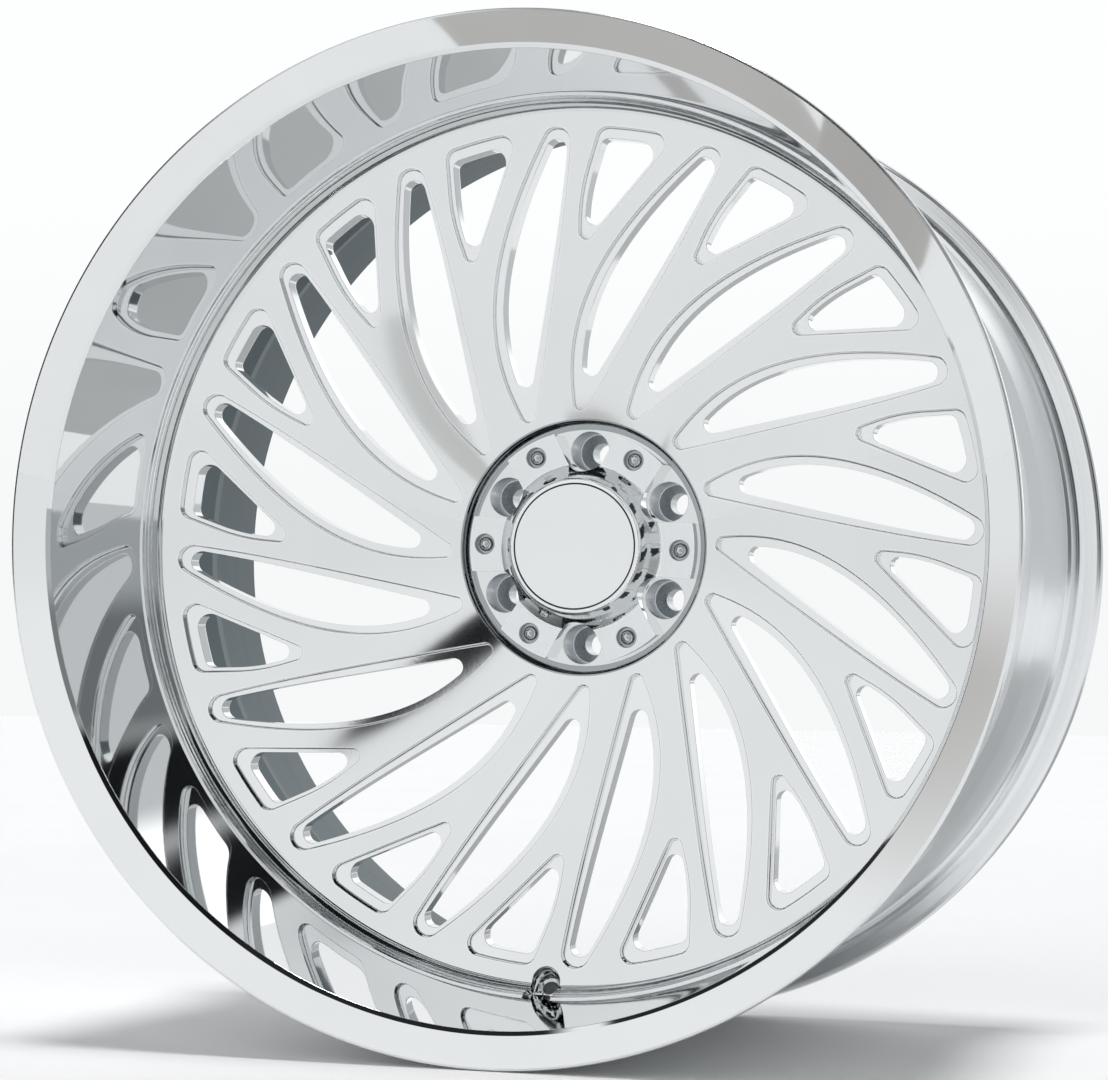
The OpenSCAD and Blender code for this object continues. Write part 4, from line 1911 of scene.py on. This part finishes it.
class Grain(Enum):
    """The kinds of marks that a finish keeps."""

    TURNED = "turned rings"
    MILLED = "cutter marks"
    DRESSED = "dressed weld"
    LAPPED = "lapped polish"
    MOULDED = "moulded rubber"


@dataclass(frozen=True)
class MetalFinish:
    """One surface finish.

    Attributes:
        name: The material's name.
        colour: Base colour, linear.
        roughness: Mean roughness.
        spread: How far the roughness varies either way.
        grain: The kind of marks.
        pitch_mm: Distance between the marks.
        depth_mm: Depth of the marks.
        metallic: 1 for metal, 0 for rubber.
        tone: How far the colour varies, as a share.
    """

    name: str
    colour: tuple[float, float, float]
    roughness: float
    spread: float
    grain: Grain
    pitch_mm: float
    depth_mm: float
    metallic: float = 1.0
    tone: float = 0.03


FINISHES = {
    finish.name: finish
    for finish in (
        MetalFinish(
            "polished_face", (0.745, 0.762, 0.768), 0.055, 0.015, Grain.LAPPED, 38.0, 0.004
        ),
        MetalFinish("milled_pocket", (0.79, 0.805, 0.812), 0.06, 0.02, Grain.MILLED, 2.6, 0.005),
        # Dark base colour: painted shade, the polished metal darkened in the deep hub pocket and
        # the screw sinks.
        MetalFinish("cap_pocket_painted_shade", (0.36, 0.38, 0.395), 0.10, 0.03, Grain.TURNED, 0.5, 0.003),
        MetalFinish("machined_back", (0.66, 0.69, 0.71), 0.30, 0.06, Grain.TURNED, 0.9, 0.01),
        MetalFinish("mirror_lip", (0.80, 0.813, 0.82), 0.03, 0.012, Grain.LAPPED, 55.0, 0.003),
        MetalFinish("turned_tyre_side", (0.80, 0.815, 0.825), 0.2, 0.06, Grain.TURNED, 0.8, 0.01),
        # Dark slate base colour: painted shade, the same aluminium darkened on the barrel's inside
        # behind the disc.
        MetalFinish("turned_inside_painted_shade", (0.135, 0.172, 0.187), 0.5, 0.05, Grain.TURNED, 1.1, 0.012),
        MetalFinish(
            "dressed_weld", (0.80, 0.815, 0.825), 0.16, 0.06, Grain.DRESSED, 4.0, 0.03, tone=0.06
        ),
        MetalFinish("polished_cap", (0.83, 0.845, 0.85), 0.05, 0.015, Grain.LAPPED, 22.0, 0.002),
        MetalFinish("satin_foot", (0.76, 0.785, 0.795), 0.30, 0.04, Grain.TURNED, 0.35, 0.003),
        MetalFinish("satin_medallion", (0.81, 0.825, 0.83), 0.14, 0.03, Grain.TURNED, 0.3, 0.0015),
        MetalFinish(
            "black_seal", (0.012, 0.012, 0.013), 0.52, 0.08, Grain.MOULDED, 0.5, 0.02, 0.0, 0.15
        ),
        MetalFinish("stainless_screw", (0.62, 0.63, 0.635), 0.16, 0.05, Grain.TURNED, 0.4, 0.006),
    )
}


@dataclass
class NodeBench:
    """Short ways to add and join nodes in one tree.

    Attributes:
        tree: The tree that the nodes go into.
    """

    tree: bpy.types.NodeTree

    def add(self, kind: str, **settings: object) -> bpy.types.Node:
        """Adds a node.

        Args:
            kind: The node's type.
            settings: Its properties, by name.

        Returns:
            The node.
        """
        node = self.tree.nodes.new(kind)
        for key, value in settings.items():
            setattr(node, key, value)
        return node

    def feed(self, node: bpy.types.Node, values: dict[str | int, object]) -> None:
        """Sets or links a node's inputs.

        Args:
            node: The node.
            values: A number, a colour or another node's output for each input, by name or place.
        """
        for key, value in values.items():
            if isinstance(value, bpy.types.NodeSocket):
                self.tree.links.new(value, node.inputs[key])
            else:
                node.inputs[key].default_value = value

    def made(
        self, kind: str, values: dict[str | int, object], **settings: object
    ) -> bpy.types.NodeSocket:
        """Adds a node with its inputs and gives back its first output.

        Args:
            kind: The node's type.
            values: Its inputs, as in feed().
            settings: Its properties, by name.

        Returns:
            The output.
        """
        node = self.add(kind, **settings)
        self.feed(node, values)
        return node.outputs[0]

    def math(self, operation: str, *inputs: bpy.types.NodeSocket | float) -> bpy.types.NodeSocket:
        """Adds a maths node on sockets or numbers and gives back its output."""
        return self.made("ShaderNodeMath", dict(enumerate(inputs)), operation=operation)

    def noise(
        self, place: bpy.types.NodeSocket, scale: bpy.types.NodeSocket | float, detail: float = 2.0
    ) -> bpy.types.NodeSocket:
        """Adds a noise texture read at a place, with finer layers, and gives back its value."""
        values = {"Vector": place, "Scale": scale, "Detail": detail}
        return self.made("ShaderNodeTexNoise", values)

    def mapped(
        self,
        value: bpy.types.NodeSocket,
        source: tuple[float, float],
        target: tuple[float, float],
        kind: str = "LINEAR",
    ) -> bpy.types.NodeSocket:
        """Carries a value from one range to another.

        Args:
            value: The value.
            source: The range that it comes from.
            target: The range that it goes to.
            kind: How the way between is shaped.

        Returns:
            The new value.
        """
        inputs = {"Value": value, "From Min": source[0], "From Max": source[1]}
        inputs |= {"To Min": target[0], "To Max": target[1]}
        return self.made("ShaderNodeMapRange", inputs, interpolation_type=kind)


def marks_group() -> bpy.types.NodeTree:
    """Group that gives heights of the finishes' marks in object space.

    Rings is noise over (distance from the axis, place along the axis), which is the same all
    the way round. Swirl is noise in space. Haze is slow noise for tone and roughness.

    Returns:
        The group.
    """
    tree = bpy.data.node_groups.new("surface_marks", "ShaderNodeTree")
    tree.interface.new_socket("Pitch", in_out="INPUT", socket_type="NodeSocketFloat")
    for name in ("Rings", "Swirl", "Haze"):
        tree.interface.new_socket(name, in_out="OUTPUT", socket_type="NodeSocketFloat")
    bench = NodeBench(tree)
    entry, leave = bench.add("NodeGroupInput"), bench.add("NodeGroupOutput")
    place = bench.add("ShaderNodeTexCoord").outputs["Object"]
    split = bench.add("ShaderNodeSeparateXYZ")
    bench.feed(split, {0: place})
    x, y, z = split.outputs
    squares = bench.math("ADD", bench.math("MULTIPLY", x, x), bench.math("MULTIPLY", z, z))
    pair = bench.made("ShaderNodeCombineXYZ", {0: bench.math("SQRT", squares), 1: y})
    rate = bench.math("DIVIDE", 1.0, entry.outputs["Pitch"])
    rings, swirl = bench.noise(pair, rate), bench.noise(place, rate, 3.0)
    haze = bench.noise(place, 9.0)
    bench.feed(leave, {"Rings": rings, "Swirl": swirl, "Haze": haze})
    return tree


def blank(name: str) -> tuple[bpy.types.Material, NodeBench, bpy.types.Node]:
    """A new material with nodes.

    Args:
        name: Its name.

    Returns:
        The material, a bench for its nodes and its shader.
    """
    material = bpy.data.materials.new(name)
    material.use_nodes = True
    tree = material.node_tree
    return material, NodeBench(tree), tree.nodes["Principled BSDF"]


@dataclass
class FinishShop:
    """Makes each finish's material once.

    Attributes:
        made: The materials so far, by name.
        marks: The node group that they share.
    """

    made: dict[str, bpy.types.Material] = field(default_factory=dict)
    marks: bpy.types.NodeTree | None = None

    def get(self, name: str) -> bpy.types.Material:
        """The material of a finish, made if it is new.

        Args:
            name: The finish's name.

        Returns:
            The material.
        """
        if name not in self.made:
            self.made[name] = self._make(FINISHES[name])
        return self.made[name]

    def _make(self, finish: MetalFinish) -> bpy.types.Material:
        """Builds one material: marks for bump and roughness, haze for tone.

        Args:
            finish: The finish.

        Returns:
            The material.
        """
        if self.marks is None:
            self.marks = marks_group()
        material, bench, shader = blank(finish.name)
        material.diffuse_color = (*finish.colour, 1.0)
        group = bench.add("ShaderNodeGroup", node_tree=self.marks)
        bench.feed(group, {"Pitch": finish.pitch_mm * MM})
        haze = group.outputs["Haze"]
        mark = group.outputs["Rings" if finish.grain is Grain.TURNED else "Swirl"]
        tone = bench.mapped(haze, (0.3, 0.7), (1.0 - finish.tone, 1.0))
        colour = bench.add("ShaderNodeMix", data_type="RGBA", blend_type="MULTIPLY")
        bench.feed(colour, {"Factor": 1.0, "A": (*finish.colour, 1.0), "B": tone})
        streaky = finish.grain in (Grain.TURNED, Grain.DRESSED)
        limits = (finish.roughness - finish.spread, finish.roughness + finish.spread)
        rough = bench.mapped(mark if streaky else haze, (0.25, 0.75), limits)
        relief = {"Strength": 1.0, "Distance": finish.depth_mm * MM, "Height": mark}
        bump = bench.made("ShaderNodeBump", relief)
        bench.feed(
            shader,
            {
                "Metallic": finish.metallic,
                "Base Color": colour.outputs["Result"],
                "Roughness": rough,
                "Normal": bump,
            },
        )
        return material


# ---------------------------------------------------------------------------
# The scene
# ---------------------------------------------------------------------------


@dataclass(frozen=True)
class CameraPlace:
    """Where the camera stands and how it is turned, in the row frame.

    Attributes:
        location: Its place, in metres.
        right: Direction to the right of its picture.
        up: Direction up its picture.
        lens: Its focal length on a sensor 36 mm wide.
    """

    location: tuple[float, float, float] = (0.6567, -2.1381, -0.0758)
    right: tuple[float, float, float] = (0.9539, 0.2999, 0.0113)
    up: tuple[float, float, float] = (0.0, -0.0376, 0.9993)
    lens: float = 101.7

    def build(self) -> bpy.types.Object:
        """Makes the camera and gives it to the scene.

        Returns:
            The camera.
        """
        data = bpy.data.cameras.new("camera")
        data.lens, data.sensor_width, data.sensor_fit = self.lens, 36.0, "HORIZONTAL"
        data.clip_start, data.clip_end = 0.05, 100.0
        item = placed("camera", data)
        right = Vector(self.right).normalized()
        back = right.cross(Vector(self.up)).normalized()
        up = back.cross(right)
        turn = Matrix((right, up, back)).transposed()
        item.matrix_world = Matrix.Translation(self.location) @ turn.to_4x4()
        bpy.context.scene.camera = item
        return item


@dataclass(frozen=True)
class Panel:
    """One soft rectangle of the room, as the wheel sees it.

    Attributes:
        bearing: Direction of its middle in degrees, 0 in front of the wheel and + to the right.
        height: Elevation of its middle, in degrees.
        half_width: Half its width, in degrees.
        half_height: Half its height, in degrees.
        edge: Width of its soft edge, in degrees.
        colour: Its colour, linear.
    """

    bearing: float
    height: float
    half_width: float
    half_height: float
    edge: float
    colour: tuple[float, float, float]


WHITE = (0.985, 0.995, 1.0)
DARK = (0.02, 0.022, 0.024)
DARKER = (0.010, 0.011, 0.012)
PANELS = (
    Panel(0.0, -2.0, 180.0, 4.0, 7.0, (0.93, 0.94, 0.945)),
    Panel(60.0, -8.0, 14.0, 22.0, 7.0, (0.50, 0.52, 0.53)),
    Panel(56.0, 19.0, 9.0, 6.0, 6.0, (0.22, 0.23, 0.235)),
    Panel(48.0, 36.0, 9.0, 6.0, 4.0, DARKER),
    Panel(42.0, 49.0, 20.0, 8.0, 3.0, DARKER),
    Panel(20.0, 55.0, 20.0, 7.0, 2.0, DARKER),
    Panel(-62.0, 22.0, 7.0, 12.0, 8.0, (0.60, 0.585, 0.57)),
    Panel(98.0, 10.0, 23.0, 62.0, 2.0, DARK),
    Panel(-97.0, 10.0, 25.0, 62.0, 2.0, DARK),
    Panel(150.0, 0.0, 27.0, 34.0, 6.0, (0.60, 0.62, 0.63)),
    Panel(177.0, 17.0, 11.0, 13.0, 4.0, (1.35, 1.36, 1.365)),
    Panel(0.0, 74.0, 180.0, 12.0, 3.0, DARK),
    Panel(-0.9, 15.2, 2.6, 2.4, 0.7, (0.004, 0.004, 0.005)),
)


@dataclass(frozen=True)
class Card:
    """A flat card just over the floor that only the polish sees.

    Attributes:
        name: Its name.
        across: Where it starts and ends along x, in metres.
        deep: Where it starts and ends along y, in metres.
        colour: Its colour, linear.
        lift: Its height over the floor, in metres.
    """

    name: str
    across: tuple[float, float]
    deep: tuple[float, float]
    colour: tuple[float, float, float]
    lift: float = 0.0015


CARDS = (
    Card("grey_card", (-1.3, 1.1), (0.32, 2.4), (0.40, 0.415, 0.42)),
    Card("warm_card", (-1.50, -0.90), (-1.64, -1.25), (0.42, 0.405, 0.39)),
    Card("warm_card_near", (-0.90, -0.36), (-1.325, -1.16), (0.48, 0.465, 0.45), 0.0012),
    Card("soft_card", (-0.40, 0.0), (-2.65, -2.1), (0.60, 0.60, 0.59)),
)


@dataclass
class Studio:
    """The pale floor with its cards, the white room and the soft lamp over the wheel.

    Attributes:
        floor_z: Height of the floor, in metres.
        reach: Half the floor's width, in metres.
        strength: Brightness of the room.
        mottle: How far a card's colour varies either way, as a share.
    """

    floor_z: float
    reach: float = 9.0
    strength: float = 1.0
    mottle: float = 0.15

    def build(self) -> None:
        """Makes the floor, the room, the lamp and the cards."""
        span = (-self.reach, self.reach)
        floor, shader = self._sheet(
            "studio_floor", (span, span), 0.0, ((0.90, 0.905, 0.91), (0.93, 0.935, 0.94)), 3.0
        )
        shader.inputs["Roughness"].default_value = 0.7
        shader.inputs["Specular IOR Level"].default_value = 0.1
        self._room()
        self._sun("overhead", (0.06, -0.05, 1.0), 16.0, 1.9)
        for card in CARDS:
            shares = 1.0 - self.mottle, 1.0 + self.mottle
            tones = [tuple(share * c for c in card.colour) for share in shares]
            item, _ = self._sheet(card.name, (card.across, card.deep), card.lift, tones, 2.0)
            item.visible_camera = item.visible_diffuse = item.visible_shadow = False

    def _sheet(
        self,
        name: str,
        spans: tuple[tuple[float, float], tuple[float, float]],
        lift: float,
        tones: Sequence[tuple[float, ...]],
        scale: float,
    ) -> tuple[bpy.types.Object, bpy.types.Node]:
        """Makes a flat sheet with a softly mottled finish.

        Args:
            name: Its name.
            spans: Where it starts and ends along x and along y, in metres.
            lift: Its height over the floor, in metres.
            tones: Its darkest and its lightest colour, linear.
            scale: How fine the mottling is.

        Returns:
            The sheet and its shader.
        """
        (left, right), (near, far) = spans
        z = self.floor_z + lift
        mesh = bpy.data.meshes.new(name)
        corners = [(left, near, z), (right, near, z), (right, far, z), (left, far, z)]
        mesh.from_pydata(corners, [], [(0, 1, 2, 3)])
        item = placed(name, mesh)
        material, bench, shader = blank(f"{name}_finish")
        place = bench.add("ShaderNodeTexCoord").outputs["Object"]
        ramp = bench.add("ShaderNodeValToRGB")
        for stop, tone in zip(ramp.color_ramp.elements, tones):
            stop.color = (*tone, 1.0)
        bench.feed(ramp, {"Fac": bench.noise(place, scale)})
        bench.feed(shader, {"Base Color": ramp.outputs["Color"]})
        mesh.materials.append(material)
        item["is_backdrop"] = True
        return item, shader

    def _room(self) -> None:
        """Makes a white room with a few darker soft panels that give the polish its lines.

        A panel's mask is a smooth step of (half size - distance from its middle), taken once
        along the bearing and once along the height and multiplied.
        """
        world = bpy.data.worlds.new("studio_room")
        bpy.context.scene.world = world
        world.use_nodes = True
        bench = NodeBench(world.node_tree)
        split = bench.add("ShaderNodeSeparateXYZ")
        bench.feed(split, {0: bench.add("ShaderNodeTexCoord").outputs["Generated"]})
        x, y, z = split.outputs
        bearing = bench.math("ARCTAN2", x, bench.math("MULTIPLY", y, -1.0))
        height = bench.math("ARCSINE", z)
        colour: bpy.types.NodeSocket | tuple[float, ...] = (*WHITE, 1.0)
        for panel in PANELS:
            mask = bench.math(
                "MULTIPLY",
                self._band(bench, bearing, panel.bearing, panel.half_width, panel.edge),
                self._band(bench, height, panel.height, panel.half_height, panel.edge),
            )
            layer = bench.add("ShaderNodeMix", data_type="RGBA")
            bench.feed(layer, {"Factor": mask, "A": colour, "B": (*panel.colour, 1.0)})
            colour = layer.outputs["Result"]
        background = world.node_tree.nodes["Background"]
        bench.feed(background, {"Color": colour, "Strength": self.strength})

    @staticmethod
    def _band(
        bench: NodeBench, angle: bpy.types.NodeSocket, middle: float, half: float, edge: float
    ) -> bpy.types.NodeSocket:
        """Adds a soft-edged band of angles, all in degrees but the first.

        Args:
            bench: Takes the nodes.
            angle: The angle looked at, in radians.
            middle: Middle of the band.
            half: Half its width.
            edge: Width of its soft edge.

        Returns:
            1 within half of the middle, falling to 0 beyond the edge.
        """
        off = bench.math("ABSOLUTE", bench.math("SUBTRACT", angle, math.radians(middle)))
        limits = (math.radians(half), math.radians(half + edge))
        return bench.mapped(off, limits, (1.0, 0.0), "SMOOTHSTEP")

    @staticmethod
    def _sun(name: str, source: tuple[float, float, float], spread: float, power: float) -> None:
        """Makes a soft light from far off.

        Args:
            name: Its name.
            source: Direction that it comes from.
            spread: Its width, in degrees.
            power: Its strength.
        """
        data = bpy.data.lights.new(name, "SUN")
        data.energy, data.angle = power, math.radians(spread)
        lamp = placed(name, data)
        lamp.rotation_euler = Vector(source).to_track_quat("Z", "Y").to_euler()


@dataclass(frozen=True)
class Placing:
    """A finished piece and how it belongs to the wheel.

    Attributes:
        piece: The piece.
        node: The solid it stands for.
        slot: Its slot name; not used.
        finishes: Its finishes, in the order of its material places.
    """

    piece: bpy.types.Object
    node: str
    slot: str
    finishes: tuple[str, ...]

    def settle(self, shop: FinishShop) -> None:
        """Gives the piece its materials and ties it to the wheel.

        Args:
            shop: Makes the materials.
        """
        for name in self.finishes:
            self.piece.data.materials.append(shop.get(name))
        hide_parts(self.node)
        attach(self.piece, ROOT_BODY)
        LOG.info("%s: %d faces", self.piece.name, len(self.piece.data.polygons))


def wheel() -> list[Placing]:
    """Builds every piece of the wheel.

    Returns:
        The pieces with what they stand for.
    """
    disc_finishes = ("polished_face", "milled_pocket", "machined_back", "cap_pocket_painted_shade")
    barrel_finishes = ("mirror_lip", "turned_tyre_side", "turned_inside_painted_shade")
    cap_finishes = ("polished_cap", "satin_foot", "cap_pocket_painted_shade")
    pieces = [
        Placing(CentreDisc().build(), "centre_disc", "polished", disc_finishes),
        Placing(Barrel().build(), "barrel", "turned", barrel_finishes),
        Placing(WeldBead.front().build(True), "front_weld_bead", "weld", ("dressed_weld",)),
        Placing(WeldBead.rear().build(False), "rear_weld_bead", "weld", ("dressed_weld",)),
        Placing(HubCap().build(), "cap_body", "polished", cap_finishes),
        Placing(Medallion().build(), "cap_medallion", "polished", ("satin_medallion",)),
        Placing(SealRing().build(), "cap_o_ring", "seal", ("black_seal",)),
    ]
    for number in range(1, HUB.lug_count + 1):
        screw, node = CapScrew(number).build(), f"cap_screw_{number}"
        pieces.append(Placing(screw, node, "screw_steel", ("stainless_screw",)))
    return pieces


def plain(bounds: tuple) -> list[list[float]]:
    """A box as two plain lists of numbers."""
    return [[float(v) for v in corner] for corner in bounds]


def main() -> None:
    """Builds the wheel, its finishes and the studio round it."""
    logging.basicConfig(level=logging.INFO, format="%(name)s: %(message)s")
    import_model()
    solid_box = plain(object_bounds())
    shop = FinishShop()
    for placing in wheel():
        placing.settle(shop)
    CameraPlace().build()
    bpy.context.scene.view_settings.view_transform = "Standard"
    Studio(floor_z=solid_box[0][2]).build()


if __name__ == "__main__":
    main()
